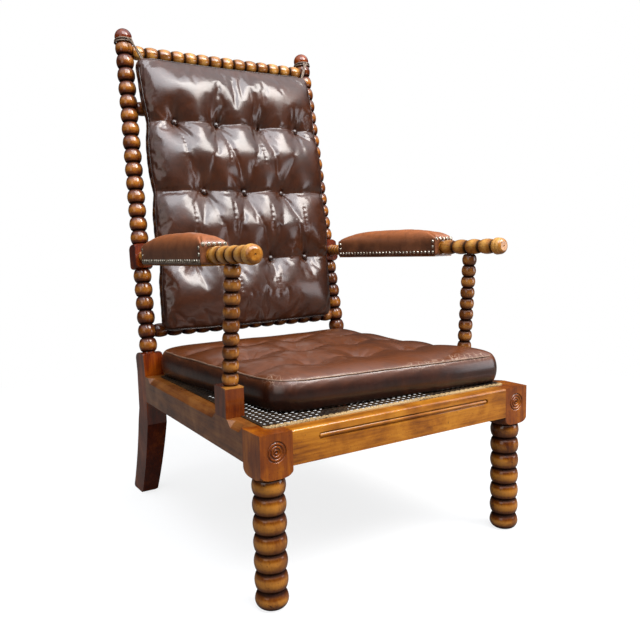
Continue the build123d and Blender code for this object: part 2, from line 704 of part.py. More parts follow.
def screw_places():
    """Left half's screws as head centre, direction and which corner block they hold."""
    middle = rail_top - corner_block_drop - corner_block_height / 2
    front_x = -block_inner_x + corner_block_leg / 2
    slant_y = block_size + corner_block_leg / 2
    rear_y = seat_depth + post_depth - rear_rail_setback - rear_rail_thickness
    rear_x = -(side_face(rear_y) - side_rail_thickness)
    return [
        (Vector(front_x, front_rail_thickness + corner_block_leg / 3, middle), Vector(0, -1, 0)),
        (Vector(front_x - corner_block_leg / 3, slant_y, middle - screw_spread / 2), Vector(-1, 0, 0)),
        (Vector(rear_x + corner_block_leg / 2, rear_y - corner_block_leg / 3, middle), Vector(0, 1, 0)),
        (Vector(rear_x + corner_block_leg / 3, rear_y - corner_block_leg / 2, middle - screw_spread / 2),
         Vector(-1, 0, 0)),
    ]


def screw(place, way):
    """Countersunk screw with its head's top at a place."""
    frame = Plane(origin=place, z_dir=way)
    edges = [Line((screw_head_radius, 0, 0), (screw_radius, 0, screw_head_height)),
             Line((screw_radius, 0, screw_head_height), (screw_radius, 0, screw_length - screw_head_height)),
             Line((screw_radius, 0, screw_length - screw_head_height), (screw_tip_radius, 0, screw_length))]
    return frame * turned(edges)


def screw_clearance(place, way):
    """Bore over a screw's head, so that the head lies in the block's slanted face."""
    frame = Plane(origin=place, z_dir=way)
    return frame * (Pos(0, 0, -overrun / 2) * Cylinder(screw_head_radius, overrun))


def cane_spline():
    """Spline pressed into the groove, cut where the arm supports stand."""
    ring = ring_between(spline_fit, groove_width - spline_fit, rail_top - groove_depth, rail_top + spline_proud)
    left = plan_prism(support_foot_plan(notch_fit), rail_top - overrun, rail_top + overrun)
    return ring - left - mirror(left, about=Plane.YZ)


def cane_panel():
    """Open-weave cane as one holed sheet inside the spline."""
    outline = seat_plan(groove_width)
    left = make_face(Polyline(*support_foot_plan(notch_fit), close=True))
    outline = outline - left - mirror(left, about=Plane.YZ)
    box = outline.bounding_box()
    wide, deep = box.size.X - 2 * cane_margin, box.size.Y - 2 * cane_margin
    pitch_x, pitch_y = wide / cane_holes_across, deep / cane_holes_deep
    radius = min(pitch_x, pitch_y) * cane_hole_share
    blocked = side_face(support_foot_y) - support_block_width - notch_fit - radius
    holes = []
    for column in range(cane_holes_across):
        for row in range(cane_holes_deep):
            x = (column - (cane_holes_across - 1) / 2) * pitch_x
            y = box.min.Y + cane_margin + (row + 1 / 2) * pitch_y
            limit = side_face(y) - cane_side_inset - groove_width - radius * cane_edge_share
            near_foot = abs(y - support_foot_y) < support_block_length / 2 + radius + cane_margin
            if abs(x) < limit and not (near_foot and abs(x) > blocked - cane_margin):
                holes.append(Pos(x, y, 0) * RegularPolygon(radius, 6).face().outer_wire())
    sheet = Face(outline.face().outer_wire(), holes)
    return Pos(0, 0, rail_top) * extrude(sheet, cane_thickness)


def crease_lines(rows, left, right):
    """Channels along each row of tufts out to the sides, and across between the rows."""
    lines = []
    ordered = [(y, sorted(places)) for y, places in sorted(rows.items())]
    for y, places in ordered:
        stops = [left, *places, right]
        lines += [((a, y), (b, y)) for a, b in zip(stops[:-1], stops[1:])]
    for (low_y, low_row), (high_y, high_row) in zip(ordered[:-1], ordered[1:]):
        reach = max(abs(a - b) for a, b in zip(low_row[:-1], low_row[1:]))
        lines += [((a, low_y), (b, high_y)) for a in low_row for b in high_row if abs(a - b) < reach]
    return lines


def seat_cushion():
    """Loose seat cushion: boxed sides, a crowned top and sewn tufts."""
    seam = seat_cushion_bottom + seat_cushion_side
    crown = seam + seat_cushion_crown
    inset = seat_seam_inset
    levels = [(seat_cushion_bottom, inset), (seat_cushion_bottom + inset, 0.0),
              (seat_cushion_bottom + seat_cushion_side / 2, -seat_cushion_bulge), (seam, 0.0)]
    levels += [(seam + seat_cushion_crown * share, drawn_in) for share, drawn_in in seat_crown_shares]
    form = Part() + cushion_form(seat_corners, seat_corner_radii, seat_bows, levels)
    for y, places in seat_tuft_rows.items():
        for x in places:
            form -= tuft(x, y, crown, seat_tuft_depth, seat_tuft_flare)
    for start, end in crease_lines(seat_tuft_rows, seat_corners[-1][0], seat_corners[-2][0]):
        form -= crease(start, end, crown, seat_crease_depth, seat_crease_width)
    return form


def seat_buttons():
    """Leather-covered buttons of the seat cushion."""
    bed = seat_cushion_bottom + seat_cushion_side + seat_cushion_crown - seat_tuft_depth
    return [button(x, y, bed) for y, places in seat_tuft_rows.items() for x in places]


def back_cushion():
    """Back cushion: thin boxed edge, crowned front, nearly flat rear and buttoned tufts."""
    crown = back_edge_front + back_crown
    levels = [(back_edge_rear - back_rear_crown, back_rear_inset), (back_edge_rear, 0.0), (back_edge_front, 0.0)]
    levels += [(back_edge_front + back_crown * share, drawn_in) for share, drawn_in in back_crown_shares]
    form = Part() + cushion_form(back_corners, [back_corner_radius] * len(back_corners), back_bows, levels)
    for y, places in back_tuft_rows.items():
        for x in places:
            form -= tuft(x, y, crown, back_tuft_depth, back_tuft_flare)
    form -= tuft(*back_empty_tuft, crown, back_tuft_depth, back_tuft_flare)
    rows = dict(back_tuft_rows)
    rows[back_empty_tuft[1]] += (back_empty_tuft[0],)
    for start, end in crease_lines(rows, -back_half_top, back_half_top):
        form -= crease(start, end, crown, back_crease_depth, back_crease_width)
    return back_frame * form


def back_buttons():
    """Buttons of the back cushion, one of them lost."""
    bed = back_edge_front + back_crown - back_tuft_depth
    return [back_frame * button(x, y, bed) for y, places in back_tuft_rows.items() for x in places]


def tie_loop():
    """Leather thong round the left post's neck, under the ball."""
    return post_frame * (Pos(0, 0, post_beads_end) * Torus(tie_ring_radius, tie_radius))


def tie_strand(cushion):
    """Two strands of the thong from the loop down to the cushion's top left corner."""
    neck_x = post_frame.from_local_coords((0, 0, post_beads_end)).X
    end = (-back_half_top + strand_corner_inset, back_top - strand_corner_drop, back_edge_front - back_edge / 2)
    strands = Part()
    for offset in (0.0, strand_spread):
        start = (neck_x + offset, post_beads_end, tie_front)
        strands += rod(start, end, strand_radius) + Pos(*start) * Sphere(strand_radius)
    return back_frame * strands - cushion


def build():
    """Every piece by its name, each a list of one or more solids."""
    cushion = back_cushion()
    screws = [screw(*place) for place in screw_places()]
    bores = [screw_clearance(*place) for place in screw_places()]
    nails = [arm_frame * head for head in arm_nails()]
    front_block, rear_block = corner_block(front=True), corner_block(front=False)
    side = side_rail()
    front = front_rail()
    rear = rear_rail()
    for tool in screws + bores:
        front_block -= tool
        rear_block -= tool
    for tool in screws:
        side -= tool
        front = front - tool - mirror(tool, about=Plane.YZ)
        rear = rear - tool - mirror(tool, about=Plane.YZ)
    paired = {
        "front_leg": [front_leg()],
        "rear_post": [rear_post()],
        "side_rail": [side],
        "arm_support": [arm_support()],
        "arm": [arm()],
        "arm_pad": [arm_pad()],
        "arm_pad_nails": nails,
        "front_corner_block": [front_block],
        "rear_corner_block": [rear_block],
        "back_tie_loop": [tie_loop()],
        "back_tie_strands": [tie_strand(cushion)],
    }
    pieces = {}
    for name, solids in paired.items():
        pieces[name + "_left"] = solids
        pieces[name + "_right"] = [mirror(solid, about=Plane.YZ) for solid in solids]
    pieces["front_rail"] = [front]
    pieces["rear_rail"] = [rear]
    pieces["crest_rail"] = [back_rail(crest_height)]
    pieces["upper_back_rail"] = [back_rail(upper_rail_height)]
    pieces["lower_back_rail"] = [back_rail(lower_rail_height)]
    pieces["corner_block_screws"] = screws + [mirror(item, about=Plane.YZ) for item in screws]
    pieces["cane_panel"] = [cane_panel()]
    pieces["cane_spline"] = [cane_spline()]
    pieces["seat_cushion"] = [seat_cushion()]
    pieces["seat_cushion_buttons"] = seat_buttons()
    pieces["back_cushion"] = [cushion]
    pieces["back_cushion_buttons"] = back_buttons()
    return pieces


os.makedirs("parts", exist_ok=True)
nodes = {name: Compound([solid for piece in pieces for solid in piece.solids()])
         for name, pieces in build().items()}
whole = Compound(list(nodes.values())).bounding_box()
shift = Pos(-whole.center().X, -whole.center().Y, 0)
for name, node in nodes.items():
    export_step(shift * node, f"parts/{name}.step")
print("Box of the chair before it is moved to its middle:", whole.min, whole.max)
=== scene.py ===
"""Looks of a bobbin-turned armchair with tufted leather cushions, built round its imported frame."""
import json
import logging
from dataclasses import dataclass, field
from enum import Enum
from typing import Callable, Sequence

import bmesh
import bpy
import numpy as np
from mathutils import Matrix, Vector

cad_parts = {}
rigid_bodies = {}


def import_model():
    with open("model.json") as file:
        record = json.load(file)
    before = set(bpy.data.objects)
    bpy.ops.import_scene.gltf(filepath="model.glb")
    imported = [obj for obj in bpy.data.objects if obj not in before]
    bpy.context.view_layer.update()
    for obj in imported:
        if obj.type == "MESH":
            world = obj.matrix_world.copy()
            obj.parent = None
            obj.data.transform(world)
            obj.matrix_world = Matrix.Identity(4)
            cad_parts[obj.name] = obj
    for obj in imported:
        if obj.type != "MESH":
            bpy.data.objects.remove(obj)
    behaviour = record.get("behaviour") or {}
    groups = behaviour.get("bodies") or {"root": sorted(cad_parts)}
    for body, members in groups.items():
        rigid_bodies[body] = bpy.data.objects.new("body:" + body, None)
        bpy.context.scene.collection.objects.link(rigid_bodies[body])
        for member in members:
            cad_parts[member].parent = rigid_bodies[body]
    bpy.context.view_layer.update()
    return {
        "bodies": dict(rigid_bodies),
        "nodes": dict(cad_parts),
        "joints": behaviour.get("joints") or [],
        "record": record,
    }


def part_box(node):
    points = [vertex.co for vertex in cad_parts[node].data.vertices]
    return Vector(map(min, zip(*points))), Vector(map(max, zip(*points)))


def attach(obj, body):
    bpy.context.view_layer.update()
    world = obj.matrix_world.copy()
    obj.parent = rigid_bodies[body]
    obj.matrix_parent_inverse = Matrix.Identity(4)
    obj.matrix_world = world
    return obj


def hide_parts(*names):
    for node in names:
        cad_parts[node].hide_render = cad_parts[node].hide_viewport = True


log = logging.getLogger("bobbin_chair")

Array = np.ndarray
Colour = tuple[float, float, float]
Faces = list[list[int]]
Socket = bpy.types.NodeSocket

MM = 0.001
LEFT, RIGHT = -1, 1
SIDE_NAMES = {LEFT: "left", RIGHT: "right"}
ACROSS = np.array([1.0, 0.0, 0.0])
UPRIGHT = np.array([0.0, 0.0, 1.0])
WHITE = (1.0, 1.0, 1.0, 1.0)
# Cells of the noise's lattice each way, after which it repeats
LATTICE = 128
# Points of a path that are compared with a mesh at once
PATH_BLOCK = 60


def vec(*values: float) -> Array:
    """Array of numbers given in millimetres, turned to metres."""
    return np.array(values, float) * MM


def unit(vector: Array) -> Array:
    """The vector at length one, along its last axis."""
    return vector / np.linalg.norm(vector, axis=-1, keepdims=True)


def circle(count: int) -> Array:
    """Angles evenly spaced round a circle, from zero."""
    return np.linspace(0, 2 * np.pi, count, endpoint=False)


def smooth_step(low: float, high: float, value: Array) -> Array:
    """Smooth rise from 0 at low to 1 at high: 3t squared less 2t cubed."""
    t = np.clip((value - low) / (high - low), 0.0, 1.0)
    return t * t * (3 - 2 * t)


def bell(gap: Array, width: Array | float, power: float = 2.0) -> Array:
    """Fall from 1 where the gap is nothing: e raised to minus (gap over width) to the power."""
    return np.exp(-(gap / width) ** power)


def from_middle(share: Array) -> Array:
    """How far a place on a line lies from its middle: 0 there, 1 at both ends."""
    return np.abs(2 * share - 1)


def in_blocks(path: Array) -> list[Array]:
    """Path cut into short stretches, so that a table of distances to one stays small."""
    return np.split(path, range(PATH_BLOCK, len(path), PATH_BLOCK))


def smooth_noise(x: Array, y: Array, cell: float, seed: int) -> Array:
    """Random field of -1 to 1: values on a square lattice, blended by a smooth step.

    Args:
        x, y: Places, in metres.
        cell: Lattice spacing, in metres.
        seed: Seed of the lattice values.

    Returns:
        The field at each place.
    """
    table = np.random.default_rng(seed).uniform(-1, 1, (LATTICE, LATTICE))
    u, v = x / cell + LATTICE / 2, y / cell + LATTICE / 2
    i, j = np.floor(u).astype(int), np.floor(v).astype(int)
    f, g = smooth_step(0.0, 1.0, u - i), smooth_step(0.0, 1.0, v - j)
    i, j, k, m = i % LATTICE, j % LATTICE, (i + 1) % LATTICE, (j + 1) % LATTICE
    return ((table[i, j] * (1 - f) + table[k, j] * f) * (1 - g)
            + (table[i, m] * (1 - f) + table[k, m] * f) * g)


def wander(places: Array, reach: float, cell: float, seed: int) -> Array:
    """Places of a plan shifted by up to a reach, by a random field for each axis.

    Args:
        places: Places, as n by 2.
        reach: Largest shift along an axis.
        cell: Spacing of the fields.
        seed: Seed of the first field; the second has the next one.

    Returns:
        The shifted places.
    """
    x, y = places.T
    return places + reach * np.stack([smooth_noise(x, y, cell, seed + axis) for axis in (0, 1)], -1)


@dataclass(frozen=True)
class Placement:
    """Frame of its own for a piece: an origin and three unit axes."""

    origin: Array
    across: Array
    up: Array
    out: Array

    @property
    def axes(self) -> Array:
        """The three axes as rows."""
        return np.stack([self.across, self.up, self.out])

    def world(self, local: Array) -> Array:
        """Points given along the three axes, as points of the chair."""
        return self.origin + local @ self.axes

    def local(self, world: Array) -> Array:
        """Points of the chair, as given along the three axes."""
        return (world - self.origin) @ self.axes.T


@dataclass(frozen=True)
class Line:
    """Axis of a turned piece, from its start to its end."""

    start: Array
    end: Array

    @property
    def way(self) -> Array:
        """Unit vector along the axis."""
        return unit(self.end - self.start)

    @property
    def length(self) -> float:
        """Length of the axis."""
        return float(np.linalg.norm(self.end - self.start))

    def at(self, distance: float) -> Array:
        """Point at a distance along the axis."""
        return self.start + self.way * distance

    def placement(self, across: Array) -> Placement:
        """Frame at the axis's start, whose out axis runs along it.

        Args:
            across: What its across axis lies nearest to.

        Returns:
            The frame.
        """
        out = self.way
        side = unit(across - out * float(across @ out))
        return Placement(self.start, side, np.cross(out, side), out)


@dataclass
class ChairSizes:
    """Driving sizes of the chair, measured from the front face of its front blocks, in metres."""

    front_width: float = 0.600
    rear_width: float = 0.564
    seat_depth: float = 0.572
    rail_top: float = 0.295
    block: float = 0.059
    leg_height: float = 0.221
    leg_bead: float = 0.0278
    leg_groove: float = 0.0216
    post_width: float = 0.045
    post_depth: float = 0.053
    post_block_top: float = 0.345
    post_lean_start: float = 0.300
    post_rake: float = 0.122
    post_splay: float = 0.0184
    post_rise: float = 0.7188
    post_bead: float = 0.020
    post_groove: float = 0.0132
    post_neck: float = 0.7175
    arm_block: tuple[float, float] = (0.187, 0.247)
    rail_bead: float = 0.016
    rail_groove: float = 0.0106
    rail_heights: tuple[float, ...] = (1.0305, 0.900, 0.391)
    arm_rear_height: float = 0.561
    arm_block_depth: float = 0.043
    arm_tip: tuple[float, float, float] = (0.2756, 0.040, 0.571)
    arm_bead: float = 0.0156
    arm_groove: float = 0.0104
    spool: float = 0.072
    pad: float = 0.343
    support_front: float = 0.126
    support_foot: float = 0.046
    support_height: float = 0.052
    support_inset: float = 0.020
    support_top: float = 0.130
    support_bead: float = 0.0148
    support_groove: float = 0.0098
    front: float = 0.0

    def side_face(self, y: float) -> float:
        """Half width over the side rails at a distance behind the front."""
        return self.front_width / 2 - (self.front_width - self.rear_width) / 2 * y / self.seat_depth

    def place(self, x: float, y: float, z: float) -> Array:
        """Point measured from the front face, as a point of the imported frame."""
        return np.array([x, y + self.front, z])

    @property
    def post_axis_y(self) -> float:
        """Distance of the posts' turning axes behind the front, at their foot."""
        lean = (self.post_block_top - self.post_lean_start) * self.post_rake / self.post_rise
        return self.seat_depth + self.post_depth / 2 + lean

    def post(self, side: int) -> Line:
        """Turning axis of a rear post.

        Args:
            side: LEFT or RIGHT.

        Returns:
            The axis, from the top of the seat block to the middle of the ball.
        """
        x = self.rear_width / 2 - self.post_width / 2
        start = self.place(side * x, self.post_axis_y, self.post_block_top)
        return Line(start, start + np.array([-side * self.post_splay, self.post_rake, self.post_rise]))

    def post_at(self, side: int, height: float) -> Array:
        """Point of a rear post's turning axis at a height above the floor."""
        post = self.post(side)
        return post.start + (post.end - post.start) * ((height - self.post_block_top) / self.post_rise)

    def leg(self, side: int) -> Line:
        """Turning axis of a front leg."""
        x = side * (self.front_width - self.block) / 2
        return Line(self.place(x, self.block / 2, 0.0), self.place(x, self.block / 2, self.leg_height))

    def arm(self, side: int) -> Line:
        """Axis of an arm.

        Args:
            side: LEFT or RIGHT.

        Returns:
            The axis, from the front face of the post's block to the tip of the knob.
        """
        start = self.post_at(side, self.arm_rear_height) - np.array([0.0, self.arm_block_depth / 2, 0.0])
        x, y, z = self.arm_tip
        return Line(start, self.place(side * x, y, z))

    def support(self, side: int) -> Line:
        """Turning axis of an arm support.

        Args:
            side: LEFT or RIGHT.

        Returns:
            The axis, from the top of the square foot to the underside of the arm.
        """
        y = self.support_front + self.support_foot / 2
        x = side * (self.side_face(y) - self.support_inset)
        arm = self.arm(side)
        reach = (arm.start[1] - self.front - self.support_top) / (arm.start[1] - arm.end[1])
        top = arm.start + (arm.end - arm.start) * reach - np.array([0.0, 0.0, self.arm_bead])
        return Line(self.place(x, y, self.rail_top + self.support_height), top)

    def back_rail(self, height: float) -> Line:
        """Axis of a turned back rail, between the posts' axes."""
        end = self.post_at(RIGHT, height)
        return Line(end * np.array([-1, 1, 1]), end)

    def back_plane(self) -> Placement:
        """Plane of the posts: across, up the rake and forwards."""
        up = unit(np.array([0.0, self.post_rake, self.post_rise]))
        origin = self.place(0.0, self.post_axis_y, self.post_block_top)
        return Placement(origin, ACROSS, up, np.cross(ACROSS, up))


class Body(Enum):
    """Moving bodies of the chair."""

    FRAME = "frame"
    SEAT = "seat_cushion"
    BACK = "back_cushion"


class Slot(Enum):
    """Slots of the record, by name."""

    CANE = "cane"
    CUSHION = "cushion_leather"
    PAD = "pad_leather"
    THONG = "thong_leather"


# Meshes


def make_object(name: str, points: Array, faces: Faces) -> bpy.types.Object:
    """Object with a smooth mesh of the given points and faces.

    Args:
        name: Name of the piece.
        points: Points in metres, any shape ending in 3.
        faces: Point numbers of each face.

    Returns:
        The linked object.
    """
    mesh = bpy.data.meshes.new(name)
    mesh.from_pydata(points.reshape(-1, 3).tolist(), [], faces)
    mesh.polygons.foreach_set("use_smooth", np.ones(len(mesh.polygons), bool))
    mesh.validate()
    mesh.update()
    piece = bpy.data.objects.new(name, mesh)
    bpy.context.scene.collection.objects.link(piece)
    return piece


def grid_faces(rows: int, columns: int) -> Array:
    """Four-sided faces of a grid of points whose columns close on themselves.

    Args:
        rows, columns: Size of the grid.

    Returns:
        Rows of four point numbers.
    """
    i, j = np.meshgrid(np.arange(rows - 1), np.arange(columns), indexing="ij")
    k = (j + 1) % columns
    low, high = i * columns, (i + 1) * columns
    return np.stack([low + j, low + k, high + k, high + j], -1).reshape(-1, 4)


def tube_faces(count: int, around: int, closed: bool) -> Faces:
    """Faces of a skin through rings of points.

    Args:
        count: How many rings.
        around: Points in a ring.
        closed: True where the last ring meets the first; else a face closes each end.

    Returns:
        Point numbers of each face.
    """
    ring = np.arange(around)
    if closed:
        looped = np.concatenate([np.arange(count * around), ring])
        return looped[grid_faces(count + 1, around)].tolist()
    return [*grid_faces(count, around).tolist(), ring[::-1].tolist(), (ring + (count - 1) * around).tolist()]


def merged(name: str, parts: Sequence[tuple[Array, Faces]]) -> bpy.types.Object:
    """One object of several meshes.

    Args:
        name: Name of the piece.
        parts: Points and faces of each mesh.

    Returns:
        The linked object.
    """
    points, faces, start = [], [], 0
    for part_points, part_faces in parts:
        flat = part_points.reshape(-1, 3)
        points.append(flat)
        faces += [[start + index for index in face] for face in part_faces]
        start += len(flat)
    return make_object(name, np.concatenate(points), faces)


def path_frames(path: Array, closed: bool) -> tuple[Array, Array]:
    """Side and upward unit vectors across a path, the second as near to upright as it can be.

    Args:
        path: Points along the path.
        closed: True where the last point is next to the first.

    Returns:
        Two arrays of unit vectors.
    """
    if closed:
        tangent = unit(np.roll(path, -1, 0) - np.roll(path, 1, 0))
    else:
        tangent = unit(np.gradient(path, axis=0))
    reference = np.where(np.abs(tangent[:, 2:]) > 0.95, np.array([0.0, 1.0, 0.0]), UPRIGHT)
    side = unit(np.cross(tangent, reference))
    return side, np.cross(side, tangent)


def sweep(path: Array, width: float, height: float, sides: int, closed: bool,
          twist: Array | float = 0.0) -> Array:
    """Rings of an oval section carried along a path: half width cos a to the side, half height sin a up.

    Args:
        path: Points along the path.
        width, height: Size of the section.
        sides: Points round the section.
        closed: True where the path closes on itself.
        twist: Turn of the section about the path, in radians, for all of it or at each point.

    Returns:
        Points, as rings by sides by 3.
    """
    side, up = path_frames(path, closed)
    turn = np.broadcast_to(np.asarray(twist, float), len(path))[:, None]
    side, up = side * np.cos(turn) + up * np.sin(turn), up * np.cos(turn) - side * np.sin(turn)
    angle = circle(sides)[:, None]
    return (path[:, None] + side[:, None] * (width / 2) * np.cos(angle)
            + up[:, None] * (height / 2) * np.sin(angle))


def curve_through(points: Array, count: int) -> Array:
    """Smooth curve through points (uniform Catmull-Rom).

    Args:
        points: What it passes through.
        count: How many points to give.

    Returns:
        Points, evenly spaced in parameter.
    """
    padded = np.concatenate([2 * points[:1] - points[1:2], points, 2 * points[-1:] - points[-2:-1]])
    t = np.linspace(0, len(points) - 1, count)
    i = np.minimum(t.astype(int), len(points) - 2)
    f = (t - i)[:, None]
    a, b, c, d = padded[i], padded[i + 1], padded[i + 2], padded[i + 3]
    return 0.5 * (2 * b + (c - a) * f + (2 * a - 5 * b + 4 * c - d) * f ** 2 + (3 * b - a - 3 * c + d) * f ** 3)


def rounded_outline(corners: Array, radii: Array, bows: Sequence[float], count: int) -> Array:
    """Closed outline of bowed sides and round corners, at even spacing.

    A side is a parabola that bows outwards by its bow; a corner is a quadratic curve whose
    control point is the corner itself.

    Args:
        corners: The corners, anticlockwise.
        radii: Distance from each corner at which its round begins.
        bows: Outward bow of the side after each corner.
        count: How many points to give.

    Returns:
        Points, as count by 2.
    """
    t = np.linspace(0, 1, 60, endpoint=False)[:, None]
    following, after = np.roll(corners, -1, 0), np.roll(corners, -2, 0)
    pieces = []
    sides = zip(corners, following, after, radii, np.roll(radii, -1), bows)
    for corner, target, beyond, near, far, bow in sides:
        way, onward = unit(target - corner), unit(beyond - target)
        first, last = corner + way * near, target - way * far
        outward = np.array([way[1], -way[0]])
        pieces.append(first + (last - first) * t + outward * bow * 4 * t * (1 - t))
        end = target + onward * far
        pieces.append((1 - t) ** 2 * last + 2 * t * (1 - t) * target + t ** 2 * end)
    dense = np.concatenate(pieces)
    dense = np.concatenate([dense, dense[:1]])
    travel = np.concatenate([[0.0], np.cumsum(np.linalg.norm(np.diff(dense, axis=0), axis=1))])
    marks = np.linspace(0, travel[-1], count, endpoint=False)
    return np.stack([np.interp(marks, travel, dense[:, axis]) for axis in (0, 1)], -1)


def segment_distance(points: Array, segments: Array) -> tuple[Array, Array]:
    """Distance of each point from each segment, and how far along the segment its foot lies.

    Args:
        points: Places, as n by 2.
        segments: Ends, as m by 2 by 2.

    Returns:
        Distances and shares along, both n by m.
    """
    start, way = segments[:, 0], segments[:, 1] - segments[:, 0]
    offset = points[:, None] - start
    share = np.clip((offset * way).sum(-1) / (way * way).sum(-1), 0, 1)
    return np.linalg.norm(offset - way * share[..., None], axis=-1), share


# Materials


class Graph:
    """Short way to place and join nodes in a tree."""

    def __init__(self, tree: bpy.types.NodeTree) -> None:
        """Keeps the tree that nodes go into."""
        self.tree = tree

    def add(self, kind: str, inputs: dict[str | int, object] | None = None,
            **settings: object) -> bpy.types.Node:
        """New node with its settings and inputs.

        Args:
            kind: Type of the node.
            inputs: Socket name or number to a value, or to a socket to join.
            settings: Properties of the node.

        Returns:
            The node.
        """
        node = self.tree.nodes.new(kind)
        for key, value in settings.items():
            setattr(node, key, value)
        for key, value in (inputs or {}).items():
            if isinstance(value, Socket):
                self.tree.links.new(value, node.inputs[key])
            else:
                node.inputs[key].default_value = value
        return node

    def coordinates(self) -> Socket:
        """Object coordinates, in metres."""
        return self.add("ShaderNodeTexCoord").outputs["Object"]

    def join(self, node: bpy.types.Node, **sockets: Socket) -> None:
        """Joins sockets to a node's inputs, whose names have spaces for underscores."""
        for key, socket in sockets.items():
            self.tree.links.new(socket, node.inputs[key.replace("_", " ")])

    def place_group(self, group: bpy.types.NodeTree, **inputs: object) -> bpy.types.bpy_prop_collection:
        """Outputs of a shared group with its inputs set, whose names have spaces for underscores."""
        named = {key.replace("_", " "): value for key, value in inputs.items()}
        return self.add("ShaderNodeGroup", named, node_tree=group).outputs

    def math(self, operation: str, a: object, b: object, clamp: bool = False) -> Socket:
        """One sum of two numbers."""
        return self.add("ShaderNodeMath", {0: a, 1: b}, operation=operation, use_clamp=clamp).outputs[0]

    def times(self, a: object, b: object) -> Socket:
        """Product of two numbers."""
        return self.math("MULTIPLY", a, b)

    def plus(self, a: object, b: object) -> Socket:
        """Sum of two numbers."""
        return self.math("ADD", a, b)

    def between(self, value: object, low: object, high: object) -> Socket:
        """1 where a number lies between two others, else 0."""
        return self.times(self.math("GREATER_THAN", value, low), self.math("LESS_THAN", value, high))

    def vector(self, operation: str, a: object, b: object = (0.0, 0.0, 0.0)) -> Socket:
        """One sum of two vectors; the dot product and length come out as a number."""
        node = self.add("ShaderNodeVectorMath", {0: a, 1: b}, operation=operation)
        return node.outputs["Value" if operation in ("DOT_PRODUCT", "LENGTH") else "Vector"]

    def scale(self, vector: object, factor: object) -> Socket:
        """Vector times a number."""
        node = self.add("ShaderNodeVectorMath", {0: vector, "Scale": factor}, operation="SCALE")
        return node.outputs["Vector"]

    def noise(self, place: object, scale: float, detail: float, roughness: float = 0.55,
              distortion: float = 0.0) -> Socket:
        """Noise of 0 to 1."""
        return self.add("ShaderNodeTexNoise", {"Vector": place, "Scale": scale, "Detail": detail,
                                               "Roughness": roughness, "Distortion": distortion}).outputs[0]

    def ramp(self, value: object, stops: Sequence[tuple[float, Colour]]) -> Socket:
        """Colour read off a ramp.

        Args:
            value: Place on the ramp.
            stops: Place and colour of each stop.

        Returns:
            The colour.
        """
        node = self.add("ShaderNodeValToRGB", {"Fac": value})
        elements = node.color_ramp.elements
        while len(elements) < len(stops):
            elements.new(0.5)
        for element, (position, colour) in zip(elements, stops):
            element.position = position
            element.color = (*colour, 1.0)
        return node.outputs["Color"]

    def step(self, value: object, low: float, high: float, out_low: float = 0.0,
             out_high: float = 1.0) -> Socket:
        """Smooth change from one number at low to another at high."""
        spans = {"Value": value, "From Min": low, "From Max": high, "To Min": out_low, "To Max": out_high}
        return self.add("ShaderNodeMapRange", spans, interpolation_type="SMOOTHSTEP").outputs["Result"]

    def mix(self, factor: object, a: object, b: object, blend: str = "MIX") -> Socket:
        """Mix of two colours."""
        a, b = ((*c, 1.0) if isinstance(c, tuple) else c for c in (a, b))
        return self.add("ShaderNodeMix", {0: factor, 6: a, 7: b}, data_type="RGBA", blend_type=blend).outputs[2]

    def bump(self, height: object, distance: float, strength: float) -> Socket:
        """Normal bent by a height."""
        return self.add("ShaderNodeBump", {"Height": height, "Distance": distance,
                                           "Strength": strength}).outputs["Normal"]

    def attribute(self, name: str) -> Socket:
        """Number that a mesh carries at each point."""
        return self.add("ShaderNodeAttribute", attribute_name=name).outputs["Fac"]


def new_group(name: str, vectors: Sequence[str], numbers: Sequence[str],
              outputs: Sequence[str]) -> tuple[Graph, bpy.types.bpy_prop_collection, bpy.types.Node]:
    """Empty shader node group with named sockets.

    Args:
        name: Name of the group.
        vectors, numbers: Names of its inputs of each kind.
        outputs: Names of its outputs, which are numbers.

    Returns:
        Its graph, its inputs by name and its output node.
    """
    tree = bpy.data.node_groups.new(name, "ShaderNodeTree")
    for label in (*vectors, *numbers):
        kind = "NodeSocketVector" if label in vectors else "NodeSocketFloat"
        tree.interface.new_socket(label, in_out="INPUT", socket_type=kind)
    for label in outputs:
        tree.interface.new_socket(label, in_out="OUTPUT", socket_type="NodeSocketFloat")
    return Graph(tree), tree.nodes.new("NodeGroupInput").outputs, tree.nodes.new("NodeGroupOutput")


